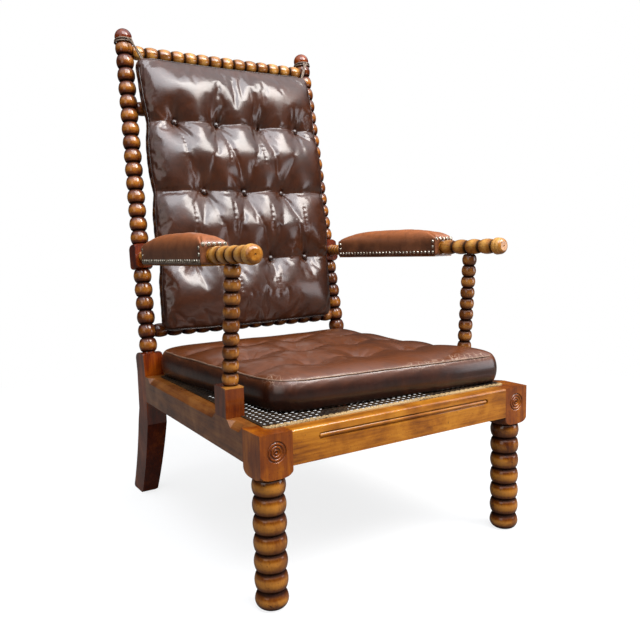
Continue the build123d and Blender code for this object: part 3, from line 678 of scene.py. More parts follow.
class SharedEffects:
    """Node groups that more than one material uses, each built once."""

    def __init__(self) -> None:
        """Builds every group."""
        self.turning = self._turning()
        self.grain = self._grain()
        self.hide = self._hide()

    @staticmethod
    def _turning() -> bpy.types.NodeTree:
        """Mask of the grooves of a turned piece, from the distance to its axis.

        Returns:
            Group whose Groove is 1 at the groove's radius and 0 at the bead's, and 0 past both ends and
            in the pause, and whose Turned is 1 on the beaded stretch.
        """
        g, given, out = new_group(
            "Turned grooves", ("Origin", "Axis"),
            ("Groove radius", "Bead radius", "Start", "End", "Pause start", "Pause end"), ("Groove", "Turned"))
        offset = g.vector("SUBTRACT", g.coordinates(), given["Origin"])
        along = g.vector("DOT_PRODUCT", offset, given["Axis"])
        radius = g.vector("LENGTH", g.vector("SUBTRACT", offset, g.scale(given["Axis"], along)))
        rise = g.math("SUBTRACT", radius, given["Groove radius"])
        depth = g.math("SUBTRACT", given["Bead radius"], given["Groove radius"])
        share = g.math("DIVIDE", rise, depth, clamp=True)
        turned = g.math("SUBTRACT", g.between(along, given["Start"], given["End"]),
                        g.between(along, given["Pause start"], given["Pause end"]), clamp=True)
        skin = g.math("GREATER_THAN", radius, g.times(given["Groove radius"], 0.8))
        g.join(out, Groove=g.times(g.math("SUBTRACT", 1.0, share), g.times(turned, skin)), Turned=turned)
        return g.tree

    @staticmethod
    def _grain() -> bpy.types.NodeTree:
        """Wood grain drawn out along an axis.

        Returns:
            Group with a broad Tone, fine Streaks and small dark Specks, each 0 to 1.
        """
        g, given, out = new_group("Wood grain", ("Axis",), ("Stretch", "Seed"), ("Tone", "Streaks", "Specks"))
        place = g.vector("ADD", g.coordinates(), g.scale((1.7, 2.3, 3.1), given["Seed"]))
        along = g.times(g.vector("DOT_PRODUCT", place, given["Axis"]), given["Stretch"])
        drawn = g.vector("SUBTRACT", place, g.scale(given["Axis"], along))
        streaks = g.noise(drawn, 240.0, 7.0, 0.65, 0.4)
        rings = g.noise(drawn, 46.0, 4.0, 0.5, 1.2)
        pores = g.step(g.noise(place, 420.0, 3.0, 0.7), 0.62, 0.70)
        dents = g.step(g.noise(place, 120.0, 4.0, 0.7), 0.655, 0.71)
        g.join(out, Tone=g.noise(place, 13.0, 5.0, 0.62, 0.6), Specks=g.math("MAXIMUM", pores, dents),
               Streaks=g.plus(g.times(streaks, 0.5), g.times(rings, 0.5)))
        return g.tree

    @staticmethod
    def _hide() -> bpy.types.NodeTree:
        """Grain, creases and patches of an old hide.

        Returns:
            Group with the pebbled Grain, soft Creases, broad Tone and a net of Cracks, each 0 to 1.
        """
        g, given, out = new_group("Hide", (), ("Grain scale", "Crease scale"),
                                  ("Grain", "Creases", "Tone", "Cracks"))
        place = g.coordinates()
        warp = g.add("ShaderNodeTexNoise", {"Vector": place, "Scale": 60.0, "Detail": 2.0}).outputs["Color"]
        bent = g.vector("ADD", place, g.scale(g.vector("SUBTRACT", warp, (0.5, 0.5, 0.5)), 0.012))
        grain = g.add("ShaderNodeTexVoronoi", {"Vector": bent, "Scale": given["Grain scale"]},
                      feature="SMOOTH_F1").outputs["Distance"]
        net = g.add("ShaderNodeTexVoronoi", {"Vector": bent, "Scale": given["Crease scale"]},
                    feature="DISTANCE_TO_EDGE").outputs["Distance"]
        g.join(out, Grain=grain, Creases=g.step(net, 0.0, 0.22),
               Tone=g.noise(place, 14.0, 5.0, 0.6, 0.6), Cracks=g.step(net, 0.055, 0.0))
        return g.tree


def new_material(name: str, **values: float) -> tuple[bpy.types.Material, Graph, bpy.types.Node]:
    """Material with a Principled shader.

    Args:
        name: Name of the finish.
        values: Constants of the shader, whose names have spaces for underscores.

    Returns:
        The material, its graph and its shader.
    """
    material = bpy.data.materials.new(name)
    material.use_nodes = True
    shader = material.node_tree.nodes["Principled BSDF"]
    for key, value in values.items():
        shader.inputs[key.replace("_", " ")].default_value = value
    return material, Graph(material.node_tree), shader


@dataclass(frozen=True)
class Turning:
    """Beaded stretch of a turned piece: its axis, two radii, where it lies and where it pauses at a block."""

    axis: Line
    groove: float
    bead: float
    start: float
    end: float
    pause: tuple[float, float] = (0.0, 0.0)


@dataclass(frozen=True)
class WoodFinish:
    """Polished wood: stain in three tones, grooves darkened as painted shade, crests made lighter by wear and a
    painted highlight, and tinted square blocks.
    """

    name: str
    dark: Colour
    middle: Colour
    light: Colour
    # Painted shade in the grooves darkens towards this colour; it is also the colour of the grain's dark
    # specks.
    groove: Colour = (0.0085, 0.0016, 0.0006)
    # Colour of the bead crests: wear plus a painted highlight.
    rubbed_and_lit: Colour = (0.42, 0.175, 0.032)
    rubbed_and_lit_share: float = 0.60
    square: Colour = (1.0, 1.0, 1.0)
    roughness: float = 0.36
    coat: float = 0.90
    coat_roughness: float = 0.10
    gloss: float = 0.08
    stretch: float = 0.94
    grain_depth: float = 0.0010

    def build(self, shared: SharedEffects, label: str, axis: Array, seed: float,
              turning: Turning | None = None) -> bpy.types.Material:
        """Material for one piece.

        Args:
            shared: Groups to place.
            label: Added to the finish's name.
            axis: Way that the grain runs.
            seed: Shifts the grain from piece to piece.
            turning: Beaded stretch of a turned piece.

        Returns:
            The material.
        """
        material, g, shader = new_material(f"{self.name} {label}", Coat_Weight=self.coat,
                                           Coat_Roughness=self.coat_roughness, Specular_IOR_Level=self.gloss)
        grain = g.place_group(shared.grain, Axis=tuple(axis), Stretch=self.stretch, Seed=seed)
        tone = g.plus(g.times(grain["Streaks"], 0.62), g.times(grain["Tone"], 0.5))
        colour = g.ramp(tone, [(0.40, self.dark), (0.54, self.middle), (0.68, self.light)])
        rough = g.step(grain["Tone"], 0.3, 0.7, self.roughness + 0.08, self.roughness - 0.05)
        if turning:
            pause_start, pause_end = turning.pause
            mask = g.place_group(shared.turning, Origin=tuple(turning.axis.start), Axis=tuple(turning.axis.way),
                                 Groove_radius=turning.groove, Bead_radius=turning.bead, Start=turning.start,
                                 End=turning.end, Pause_start=pause_start, Pause_end=pause_end)
            # Painted highlight, partly wear: the bead crests take the lighter crest colour.
            high = g.times(g.step(mask["Groove"], 0.24, 0.0), mask["Turned"])
            crest = g.times(high, g.step(grain["Tone"], 0.34, 0.62))
            colour = g.mix(g.math("SUBTRACT", 1.0, mask["Turned"]), colour, self.square, "MULTIPLY")
            colour = g.mix(g.times(crest, self.rubbed_and_lit_share), colour, self.rubbed_and_lit)
            # Painted shade: the grooves darken towards the groove colour.
            shade = g.step(g.plus(mask["Groove"], g.times(grain["Streaks"], 0.30)), 0.28, 0.86)
            colour = g.mix(g.times(shade, 0.94), colour, self.groove)
            rough = g.plus(rough, g.times(shade, 0.35))
            g.join(shader, Coat_Weight=g.step(shade, 0.0, 0.8, self.coat, 0.0))
        colour = g.mix(g.times(grain["Specks"], 0.80), colour, self.groove)
        height = g.times(grain["Streaks"], 0.22)
        g.join(shader, Base_Color=colour, Roughness=rough, Normal=g.bump(height, self.grain_depth, 0.45))
        return material


@dataclass(frozen=True)
class LeatherFinish:
    """Waxed hide: mottled stain, pebbled grain, soft creases, cracked places, and a lighter colour of wear plus
    painted light.
    """

    name: str
    dark: Colour
    middle: Colour
    light: Colour
    # Lighter colour of wear plus painted light, where the mesh's mask asks for it.
    rubbed_and_lit: Colour
    crack: Colour
    roughness: float
    coat: float
    coat_roughness: float
    gloss: float
    grain_scale: float = 900.0
    crease_scale: float = 85.0
    grain_depth: float = 0.00022

    def build(self, shared: SharedEffects) -> bpy.types.Material:
        """Material that reads the mesh's own masks: the lighter colour of wear plus painted light, and the
        cracks.

        Args:
            shared: Groups to place.

        Returns:
            The material.
        """
        material, g, shader = new_material(self.name, Coat_Weight=self.coat, Coat_Roughness=self.coat_roughness,
                                           Specular_IOR_Level=self.gloss)
        hide = g.place_group(shared.hide, Grain_scale=self.grain_scale, Crease_scale=self.crease_scale)
        colour = g.ramp(hide["Tone"], [(0.34, self.dark), (0.52, self.middle), (0.70, self.light)])
        # Wear plus painted light: the mesh's mask mixes in the lighter colour.
        colour = g.mix(g.attribute("rubbed_and_lit"), colour, self.rubbed_and_lit)
        mottle = g.step(g.noise(g.coordinates(), 48.0, 5.0, 0.62), 0.38, 0.66, 0.82, 1.16)
        grey = g.ramp(mottle, [(0.0, (0.0, 0.0, 0.0)), (1.0, (1.0, 1.0, 1.0))])
        colour = g.mix(1.0, colour, grey, "MULTIPLY")
        cracks = g.times(hide["Cracks"], g.attribute("cracked"))
        colour = g.mix(g.times(cracks, 0.8), colour, self.crack)
        patches = g.step(hide["Tone"], 0.3, 0.7, self.roughness + 0.05, self.roughness - 0.05)
        height = g.plus(g.times(hide["Creases"], 0.5), g.times(hide["Grain"], 0.6))
        g.join(shader, Base_Color=colour, Roughness=g.plus(patches, g.times(cracks, 0.2)),
               Normal=g.bump(height, self.grain_depth, 0.7))
        return material


@dataclass(frozen=True)
class CaneFinish:
    """Aged split cane, darkened as painted shade over the opening, and painted lighter, as lit, over the front
    rail.
    """

    name: str = "Aged cane with painted shade"
    # Tones of the strands, kept very dark: partly age and dirt, mostly painted shade under the cushion.
    pale: Colour = (0.038, 0.021, 0.0085)
    middle: Colour = (0.012, 0.0062, 0.0026)
    dark: Colour = (0.0040, 0.0022, 0.0012)
    # Painted light: lighter colour of the strands over the front rail.
    worn: Colour = (0.30, 0.200, 0.095)
    lit_band_depth: float = 0.047
    lit_band_fade: float = 0.004
    fibre_depth: float = 0.0003

    def build(self, front: float) -> bpy.types.Material:
        """Material of mottled strands in painted shade, with a painted lighter band over the front rail.

        Args:
            front: Where the front face of the front rail lies.

        Returns:
            The material.
        """
        material, g, shader = new_material(self.name, Roughness=0.55, Specular_IOR_Level=0.15)
        place = g.coordinates()
        tone = g.plus(g.times(g.noise(place, 320.0, 5.0), 0.5), g.times(g.noise(place, 12.0, 3.0), 0.5))
        colour = g.ramp(tone, [(0.38, self.dark), (0.5, self.middle), (0.62, self.pale)])
        depth = g.add("ShaderNodeSeparateXYZ", {0: place}).outputs["Y"]
        # Painted light: strands over the front rail, on their lighter tones, take the lighter colour.
        edge = front + self.lit_band_depth
        near = g.times(g.step(depth, edge, edge - self.lit_band_fade), g.step(tone, 0.36, 0.54))
        g.join(shader, Base_Color=g.mix(near, colour, self.worn),
               Normal=g.bump(g.noise(place, 900.0, 2.0), self.fibre_depth, 0.6))
        return material


@dataclass(frozen=True)
class MetalFinish:
    """Old metal with dull patches."""

    name: str
    bright: Colour
    dull: Colour
    roughness: float
    scratch_depth: float = 0.0002

    def build(self) -> bpy.types.Material:
        """Material of rubbed metal.

        Returns:
            The material.
        """
        material, g, shader = new_material(self.name, Metallic=1.0)
        patches = g.step(g.noise(g.coordinates(), 260.0, 4.0, 0.6), 0.42, 0.62)
        g.join(shader, Base_Color=g.mix(patches, self.bright, self.dull),
               Roughness=g.step(patches, 0.0, 1.0, self.roughness, self.roughness + 0.25),
               Normal=g.bump(g.noise(g.coordinates(), 900.0, 2.0), self.scratch_depth, 0.4))
        return material


@dataclass(frozen=True)
class ThongFinish:
    """Dry leather lace."""

    name: str = "Leather thong"
    dark: Colour = (0.05, 0.03, 0.02)
    light: Colour = (0.20, 0.135, 0.09)
    grain_depth: float = 0.0004

    def build(self, shared: SharedEffects) -> bpy.types.Material:
        """Material of matte lace.

        Args:
            shared: Groups to place.

        Returns:
            The material.
        """
        material, g, shader = new_material(self.name, Roughness=0.62)
        hide = g.place_group(shared.hide, Grain_scale=1400.0, Crease_scale=300.0)
        g.join(shader, Base_Color=g.ramp(hide["Creases"], [(0.0, self.dark), (1.0, self.light)]),
               Normal=g.bump(hide["Grain"], self.grain_depth, 0.8))
        return material


# Pieces


def dress(piece: bpy.types.Object, material: bpy.types.Material) -> None:
    """Gives a piece one material."""
    piece.data.materials.clear()
    piece.data.materials.append(material)


def settle(piece: bpy.types.Object, body: Body, material: bpy.types.Material,
           nodes: Sequence[str] = ()) -> None:
    """Dresses a new piece, rides it on its body and lets it stand for its nodes.

    Args:
        piece: The new piece.
        body: What it moves with.
        material: Its material.
        nodes: Names of the nodes that it replaces.
    """
    dress(piece, material)
    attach(piece, body.value)
    if nodes:
        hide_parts(*nodes)
    log.info("%s: %d points", piece.name, len(piece.data.vertices))


def set_masks(piece: bpy.types.Object, rubbed_and_lit: Array | float, cracked: Array | float = 0.0) -> None:
    """Stores the masks that leather reads, as a number at each point.

    Args:
        piece: The piece.
        rubbed_and_lit: Share of the lighter colour of wear plus painted light, for each point or for all.
        cracked: Share of the cracks, for each point or for all.
    """
    for name, values in (("rubbed_and_lit", rubbed_and_lit), ("cracked", cracked)):
        filled = np.broadcast_to(np.asarray(values, np.float32).ravel(), len(piece.data.vertices))
        layer = piece.data.attributes.new(name, "FLOAT", "POINT")
        layer.data.foreach_set("value", np.ascontiguousarray(filled))


def read_vectors(items: bpy.types.bpy_prop_collection, key: str) -> Array:
    """Vectors that a mesh keeps at its points.

    Args:
        items: The mesh's points or normals.
        key: Their property to read.

    Returns:
        The vectors, as n by 3.
    """
    flat = np.empty(len(items) * 3, np.float32)
    items.foreach_get(key, flat)
    return flat.reshape(-1, 3).astype(float)


def move_points(mesh: bpy.types.Mesh, points: Array) -> None:
    """Puts a mesh's points at new places."""
    mesh.vertices.foreach_set("co", points.astype(np.float32).ravel())
    mesh.update()


@dataclass
class WoodFrame:
    """Every wooden piece of the frame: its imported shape, dressed."""

    sizes: ChairSizes
    nodes: dict[str, bpy.types.Object]
    shared: SharedEffects
    blocks: WoodFinish = WoodFinish(
        "Stained beech", dark=(0.030, 0.0052, 0.0005), middle=(0.105, 0.0290, 0.0036),
        light=(0.190, 0.068, 0.0130))
    rails: WoodFinish = WoodFinish(
        "Golden rail", dark=(0.066, 0.012, 0.0006), middle=(0.240, 0.074, 0.0024), light=(0.39, 0.148, 0.010))
    posts: WoodFinish = WoodFinish(
        "Turned post", dark=(0.024, 0.0026, 0.0003), middle=(0.074, 0.0115, 0.0006),
        light=(0.170, 0.044, 0.0030), rubbed_and_lit=(0.40, 0.150, 0.020), square=(1.15, 0.80, 0.40))
    legs: WoodFinish = WoodFinish(
        "Turned leg", dark=(0.040, 0.0068, 0.0005), middle=(0.100, 0.0230, 0.0010),
        light=(0.190, 0.060, 0.0040), rubbed_and_lit=(0.41, 0.165, 0.020), square=(1.50, 1.35, 0.30))
    supports: WoodFinish = WoodFinish(
        "Turned support", dark=(0.038, 0.0068, 0.0006), middle=(0.105, 0.0270, 0.0018),
        light=(0.200, 0.068, 0.0066), square=(0.72, 0.42, 0.25))
    arms: WoodFinish = WoodFinish(
        "Golden turning", dark=(0.080, 0.019, 0.0018), middle=(0.215, 0.070, 0.0066),
        light=(0.40, 0.170, 0.025), rubbed_and_lit=(0.62, 0.33, 0.082))
    panel_thickness: float = 0.002
    knob_tip: float = 0.004

    def build(self) -> None:
        """Dresses the posts, legs, arms, supports and rails."""
        sizes = self.sizes
        for number, side in enumerate((LEFT, RIGHT)):
            label = SIDE_NAMES[side]
            for step, (name, (finish, turning)) in enumerate(self._turnings(side).items()):
                self._dress(finish, f"{name}_{label}", turning.axis.way, number * 7.3 + step * 3.1, turning)
            splay = side * (sizes.rear_width - sizes.front_width) / 2
            self._dress(self.blocks, f"side_rail_{label}", unit(np.array([splay, sizes.seat_depth, 0.0])),
                        20 + number * 5.7)
            for step, corner in enumerate(("front_corner_block", "rear_corner_block")):
                self._dress(self.blocks, f"{corner}_{label}", UPRIGHT, 30 + number * 2.9 + step)
        self._dress(self.rails, "front_rail", ACROSS, 41.0)
        self._dress(self.blocks, "rear_rail", ACROSS, 43.0)
        names = ("crest_rail", "upper_back_rail", "lower_back_rail")
        for step, (name, height) in enumerate(zip(names, sizes.rail_heights)):
            axis = sizes.back_rail(height)
            turning = Turning(axis, sizes.rail_groove, sizes.rail_bead, 0.0, axis.length)
            self._dress(self.posts if step else self.arms, name, ACROSS, 50.0 + step * 4.1, turning)

    def _turnings(self, side: int) -> dict[str, tuple[WoodFinish, Turning]]:
        """Finish and beaded stretch of every turned piece of one side.

        Args:
            side: LEFT or RIGHT.

        Returns:
            Both, by the name of the piece.
        """
        sizes = self.sizes
        leg, post, arm, support = sizes.leg(side), sizes.post(side), sizes.arm(side), sizes.support(side)
        nose = sizes.spool + sizes.pad + self.panel_thickness
        return {
            "front_leg": (self.legs, Turning(leg, sizes.leg_groove, sizes.leg_bead, 0.0, leg.length)),
            "rear_post": (self.posts, Turning(post, sizes.post_groove, sizes.post_bead, 0.0, sizes.post_neck,
                                              pause=sizes.arm_block)),
            "arm": (self.arms, Turning(arm, sizes.arm_groove, sizes.arm_bead, nose,
                                       arm.length - self.knob_tip)),
            "arm_support": (self.supports, Turning(support, sizes.support_groove, sizes.support_bead, 0.0,
                                                   support.length)),
        }

    def _dress(self, finish: WoodFinish, node: str, axis: Array, seed: float,
               turning: Turning | None = None) -> None:
        """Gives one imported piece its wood."""
        dress(self.nodes[node], finish.build(self.shared, node, axis, seed, turning))


@dataclass
class CaneSeat:
    """Six-way cane woven from split strands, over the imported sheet."""

    sizes: ChairSizes
    pitch: float = 0.0127
    strand: float = 0.0031
    pair_gap: float = 0.0034
    thickness: float = 0.0005
    wave: float = 0.0003
    side_inset: float = 0.033
    front_edge: float = 0.035
    rear_edge: float = 0.551
    lift: float = 0.0007

    def build(self, material: bpy.types.Material) -> None:
        """Makes the strands of the four ways of the weave.

        Args:
            material: Their cane.
        """
        count = int(self.sizes.front_width / self.pitch)
        marks = np.arange(-count, count + 1) * self.pitch
        pairs = np.sort(np.concatenate([marks - self.pair_gap / 2, marks + self.pair_gap / 2]))
        slanted = (marks + self.pitch / 2) / np.sqrt(2)
        middle = np.array([0.0, (self.front_edge + self.rear_edge) / 2])
        families = [((1.0, 0.0), pairs, 0.0), ((0.0, 1.0), pairs, 0.25),
                    ((1.0, 1.0), slanted, 0.5), ((1.0, -1.0), slanted, 0.75)]
        parts = []
        for direction, offsets, layer in families:
            way = unit(np.array(direction))
            normal = np.array([-way[1], way[0]])
            for number, offset in enumerate(offsets):
                part = self._strand(middle + normal * offset, way, layer, number)
                if part is not None:
                    parts.append(part)
        settle(merged("cane_weave", parts), Body.FRAME, material, ["cane_panel"])

    def _strand(self, through: Array, way: Array, layer: float, number: int) -> tuple[Array, Faces] | None:
        """Flat strand clipped to the caned plan: z waves by half a turn per pitch.

        Args:
            through: Point of the plan that the strand passes through.
            way: Unit vector along it.
            layer: Share of the weave's height at which it lies.
            number: Number of the strand, which sets whether it starts over or under.

        Returns:
            Points and faces, or None where it misses the plan.
        """
        sizes = self.sizes
        slope = (sizes.front_width - sizes.rear_width) / 2 / sizes.seat_depth
        normals = np.array([[0.0, -1.0], [0.0, 1.0], [1.0, slope], [-1.0, slope]])
        wide = sizes.front_width / 2 - self.side_inset
        limits = np.array([-self.front_edge, self.rear_edge, wide, wide])
        speed, room = normals @ way, limits - normals @ through
        with np.errstate(divide="ignore", invalid="ignore"):
            hits = room / speed
        if np.any((np.abs(speed) < 1e-9) & (room < 0)):
            return None
        high = np.min(hits[speed > 1e-9])
        low = np.max(hits[speed < -1e-9])
        if high - low < self.pitch:
            return None
        steps = max(2, int((high - low) / self.pitch * 2) + 1)
        t = np.linspace(low, high, steps)
        flat = through + t[:, None] * way
        z = (sizes.rail_top + self.lift + layer * self.thickness
             + self.wave * np.cos(np.pi * (t / self.pitch + number)) * 0.5)
        side = np.array([-way[1], way[0]]) * self.strand / 2
        under, over = z - self.thickness / 2, z + self.thickness / 2
        corners = ((flat - side, under), (flat + side, under), (flat + side, over), (flat - side, over))
        ring = np.stack([np.column_stack(corner) for corner in corners], 1)
        ring[..., 1] += sizes.front
        return ring, tube_faces(steps, len(corners), closed=False)


@dataclass(frozen=True)
class Stuffing:
    """Fills a leather form by a cloth simulation: pressure from inside, held where it is sewn."""

    growth: float
    cap: float
    pressure: float = 4.0
    voxel: float = 0.005
    stiffness: float = 0.3
    quality: int = 6
    frames: int = 20
    levels: int = 10

    def fill(self, piece: bpy.types.Object, held: Callable[[Array], Array]) -> None:
        """Remeshes the form, swells it, limits how far a point moves, and subdivides it once.

        Args:
            piece: The closed form, a little slack.
            held: Gives how firmly points are held, 0 to 1.
        """
        self._apply(piece, "REMESH", mode="VOXEL", voxel_size=self.voxel)
        start = read_vectors(piece.data.vertices, "co")
        step = self._swell(piece, np.round(held(start) * self.levels).astype(int)) - start
        reach = np.linalg.norm(step, axis=1, keepdims=True)
        move_points(piece.data, start + step * np.minimum(1.0, self.cap / np.maximum(reach, 1e-9)))
        self._apply(piece, "SUBSURF", levels=1, render_levels=1)
        piece.data.polygons.foreach_set("use_smooth", np.ones(len(piece.data.polygons), bool))

    def _swell(self, piece: bpy.types.Object, levels: Array) -> Array:
        """Runs the simulation.

        Args:
            piece: The form.
            levels: How firmly each point is held, as a whole number.

        Returns:
            The points where it ends.
        """
        group = piece.vertex_groups.new(name="held")
        for level in range(1, self.levels + 1):
            group.add(np.flatnonzero(levels == level).tolist(), level / self.levels, "REPLACE")
        cloth = piece.modifiers.new("filling", "CLOTH")
        cloth.point_cache.frame_end = self.frames
        cloth.collision_settings.use_collision = False
        settings = cloth.settings
        settings.vertex_group_mass = group.name
        settings.use_pressure = True
        settings.uniform_pressure_force = self.pressure
        settings.shrink_min = -self.growth
        settings.quality = self.quality
        settings.bending_stiffness = self.stiffness
        settings.effector_weights.gravity = 0.0
        scene = bpy.context.scene
        for frame in range(1, self.frames + 1):
            scene.frame_set(frame)
        shape = piece.evaluated_get(bpy.context.evaluated_depsgraph_get()).data
        moved = read_vectors(shape.vertices, "co")
        piece.modifiers.remove(cloth)
        piece.vertex_groups.clear()
        scene.frame_set(1)
        return moved

    @staticmethod
    def _apply(piece: bpy.types.Object, kind: str, **settings: object) -> None:
        """Adds a modifier and bakes it into the mesh.

        Args:
            piece: What it changes.
            kind: Type of the modifier.
            settings: Its properties.
        """
        modifier = piece.modifiers.new(kind.lower(), kind)
        for key, value in settings.items():
            setattr(modifier, key, value)
        mesh = bpy.data.meshes.new_from_object(piece.evaluated_get(bpy.context.evaluated_depsgraph_get()))
        piece.modifiers.clear()
        piece.data = mesh


@dataclass
class TuftedCushion:
    """Leather cushion with stuffed sides, a piped seam, a crowned top and sewn tufts.

    The form is made slack, filled by the simulation, and then gets its sewn and creased detail.
    """

    name: str
    placement: Placement
    corners: Array
    radii: Array
    bows: Sequence[float]
    base: float
    seam: float
    crown: float
    side_bulge: float
    rows: Sequence[tuple[float, Sequence[float]]]
    row_ends: tuple[float, float]
    tuft_depth: float
    tuft_spread: float
    valley_depth: float
    valley_width: float
    cross_share: float
    piping: float
    piping_rub: float
    stuffing: Stuffing
    pulls: Array
    # Share of the lighter colour on faces turned out, then on the walls: wear plus painted light.
    rub_and_light: tuple[float, float]
    seed: int
    stitches: Array = field(default_factory=lambda: np.zeros((0, 2, 2)))
    cracks: Array = field(default_factory=lambda: np.zeros((0, 2, 2)))
    crack_reach: tuple[float, float] = (0.016, 0.004)
    rear_crown: float = 0.0
    edge_power: float = 4.0
    edge_root: float = 0.6
    swell: float = 0.0024
    swell_cell: float = 0.09
    valley_wander: tuple[float, float] = (0.005, 0.05)
    crease_wander: tuple[float, float] = (0.003, 0.03)
    crease_depth: float = 0.0022
    row_crease: float = 0.0035
    cross_crease: float = 0.0040
    fold_depth: float = 0.0022
    fold_lean: float = 0.9
    fold_lengths: tuple[float, float] = (0.030, 0.075)
    fold_width: float = 0.0022
    fold_spread: float = 0.0065
    folds_each: int = 6
    stitch_depth: float = 0.0010
    stitch_width: float = 0.0036
    stitch_lip: tuple[float, float] = (0.0080, 0.0050)
    stitch_count: int = 6
    dimple_depth: float = 0.0030
    dimple_width: float = 0.0075
    tuft_hold: float = 0.009
    row_hold: float = 0.0045
    seam_hold: float = 0.005
    top_margin: float = 0.004
    rear_margins: tuple[float, float] = (0.006, 0.001)
    detail_margin: float = 0.010
    top_reach: float = 0.016
    seam_reach: float = 0.012
    seam_smooth: int = 5
    probe: float = 0.005
    around: int = 420
    rings: int = 80
    walls: int = 16
    floor_rings: int = 12
    piping_sides: int = 8
    points: Array = field(init=False)

    def __post_init__(self) -> None:
        """Derives the tufts, the lines between them and the folds that spread from them."""
        left, right = self.row_ends
        self.tufts = np.array([(x, y) for y, places in self.rows for x in places])
        lines = []
        for y, places in self.rows:
            stops = [left, *places, right]
            lines += [((a, y), (b, y)) for a, b in zip(stops[:-1], stops[1:])]
        self.row_lines = np.array(lines)
        crossed = []
        for (low, low_row), (high, high_row) in zip(self.rows[:-1], self.rows[1:]):
            reach = max(abs(a - b) for a, b in zip(low_row[:-1], low_row[1:]))
            crossed += [((a, low), (b, high)) for a in low_row for b in high_row if abs(a - b) < reach]
        self.cross_lines = np.array(crossed)
        random = np.random.default_rng(self.seed)
        lean = random.uniform(-self.fold_lean, self.fold_lean, (len(self.tufts), self.folds_each))
        angle = np.where(np.arange(self.folds_each) % 2, np.pi / 2, -np.pi / 2) + lean
        length = random.uniform(*self.fold_lengths, angle.shape)
        tips = self.tufts[:, None] + np.stack([np.cos(angle), np.sin(angle)], -1) * length[..., None]
        starts = np.broadcast_to(self.tufts[:, None], tips.shape)
        self.folds = np.stack([starts, tips], 2).reshape(-1, 2, 2)

    def pulled(self, flat: Array) -> Array:
        """Plan moved where the leather is drawn in or pulled out: bells round the given places.

        Args:
            flat: Places of the plan.

        Returns:
            The moved places.
        """
        centre = self.pulls[:, :2] * MM
        shift, reach = self.pulls[:, 2:4] * MM, self.pulls[:, 4] * MM
        gap = np.linalg.norm(flat[..., None, :] - centre, axis=-1)
        return flat + (bell(gap, reach)[..., None] * shift).sum(-2)

    def relief(self, places: Array) -> Array:
        """How far the slack top is drawn down at each place: tufts, rows and crossing creases.

        A tuft is an exponential cone and a crease a bell across its line.

        Args:
            places: Places on the top, as n by 2.

        Returns:
            Depths, in metres.
        """
        distance = np.linalg.norm(places[:, None] - self.tufts, axis=-1)
        cones = self.tuft_depth * (0.62 * bell(distance, 1.5 * self.tuft_spread, 1.5)
                                   + 0.38 * bell(distance, 0.5 * self.tuft_spread, 1.2)).max(1)
        bent = wander(places, *self.valley_wander, self.seed)
        gap, share = segment_distance(bent, self.row_lines)
        rows = ((0.58 + 0.42 * from_middle(share)) * bell(gap, self.valley_width, 1.25)).max(1)
        gap, share = segment_distance(bent, self.cross_lines)
        cross = ((0.4 + 0.6 * from_middle(share)) * bell(gap, self.valley_width, 1.5)).max(1)
        valleys = self.valley_depth * np.maximum(rows, self.cross_share * cross)
        swell = self.swell * smooth_noise(*places.T, self.swell_cell, self.seed + 4)
        return np.maximum(cones, valleys) + 0.35 * np.minimum(cones, valleys) + swell

    def surface(self) -> Array:
        """Points of the slack form, in its own frame.

        The top and the bottom are rings between the outline and its middle, and the wall is the
        outline pushed out by a half sine. The top's height is the crown times (1 - r^p)^q.

        Returns:
            Points, as rows by columns by 3.
        """
        outline = rounded_outline(self.corners, self.radii, self.bows, self.around)
        centre = outline.mean(0)
        tangent = unit(np.roll(outline, -1, 0) - np.roll(outline, 1, 0))
        outward = np.stack([tangent[:, 1], -tangent[:, 0]], -1)

        r = (1 - np.linspace(1, 0, self.rings) ** 1.25)[1:, None, None]
        flat = centre + (outline - centre)[None] * r
        arch = (1 - r[..., 0] ** self.edge_power) ** self.edge_root
        drawn = self.relief(flat.reshape(-1, 2)).reshape(flat.shape[:2])
        height = self.seam + self.crown * arch - drawn * np.minimum(1, 0.35 + arch)
        top = self._raised(flat, np.where(r[..., 0] == 1, self.seam, height))

        t = np.linspace(0, 1, self.walls)[1:-1, None]
        bulge = self.side_bulge * np.sin(np.pi * t) ** 0.7
        wall = self._raised(outline[None] + outward[None] * bulge[..., None],
                            self.seam + (self.base - self.seam) * t)

        r = np.linspace(1, 0, self.floor_rings)[:-1, None, None]
        low = self._raised(centre + (outline - centre)[None] * r,
                           self.base - self.rear_crown * (1 - r[..., 0] ** 2.2))
        return np.concatenate([top, wall, low])

    def _raised(self, flat: Array, height: Array) -> Array:
        """Rings of a plan, pulled, at a height for each ring or point."""
        return np.concatenate([self.pulled(flat), np.broadcast_to(height, flat.shape[:2])[..., None]], -1)

    def seam_path(self) -> Array:
        """Closed path of the upper seam, in the cushion's own frame."""
        outline = self.pulled(rounded_outline(self.corners, self.radii, self.bows, self.around))
        return np.column_stack([outline, np.full(len(outline), self.seam)])

    def held(self, world: Array) -> Array:
        """How firmly the simulation holds points: tufts and seam firmly, rows partly, the rear wholly.

        Args:
            world: Points of the slack form.

        Returns:
            Shares of 0 to 1.
        """
        local = self.placement.local(world)
        flat, height = local[:, :2], local[:, 2]
        distance = np.linalg.norm(flat[:, None] - self.tufts, axis=-1).min(1)
        gap, _ = segment_distance(flat, self.row_lines)
        drawn = np.maximum(bell(distance, self.tuft_hold, 4.0), 0.75 * bell(gap.min(1), self.row_hold))
        seam = np.min([np.linalg.norm(local[:, None] - part, axis=-1).min(1)
                       for part in in_blocks(self.seam_path())], axis=0)
        sewn = 0.95 * bell(seam, self.seam_hold)
        rear = smooth_step(self.base + self.rear_margins[0], self.base + self.rear_margins[1], height)
        return np.clip(np.maximum(drawn * (height > self.seam - self.top_margin), np.maximum(sewn, rear)), 0, 1)

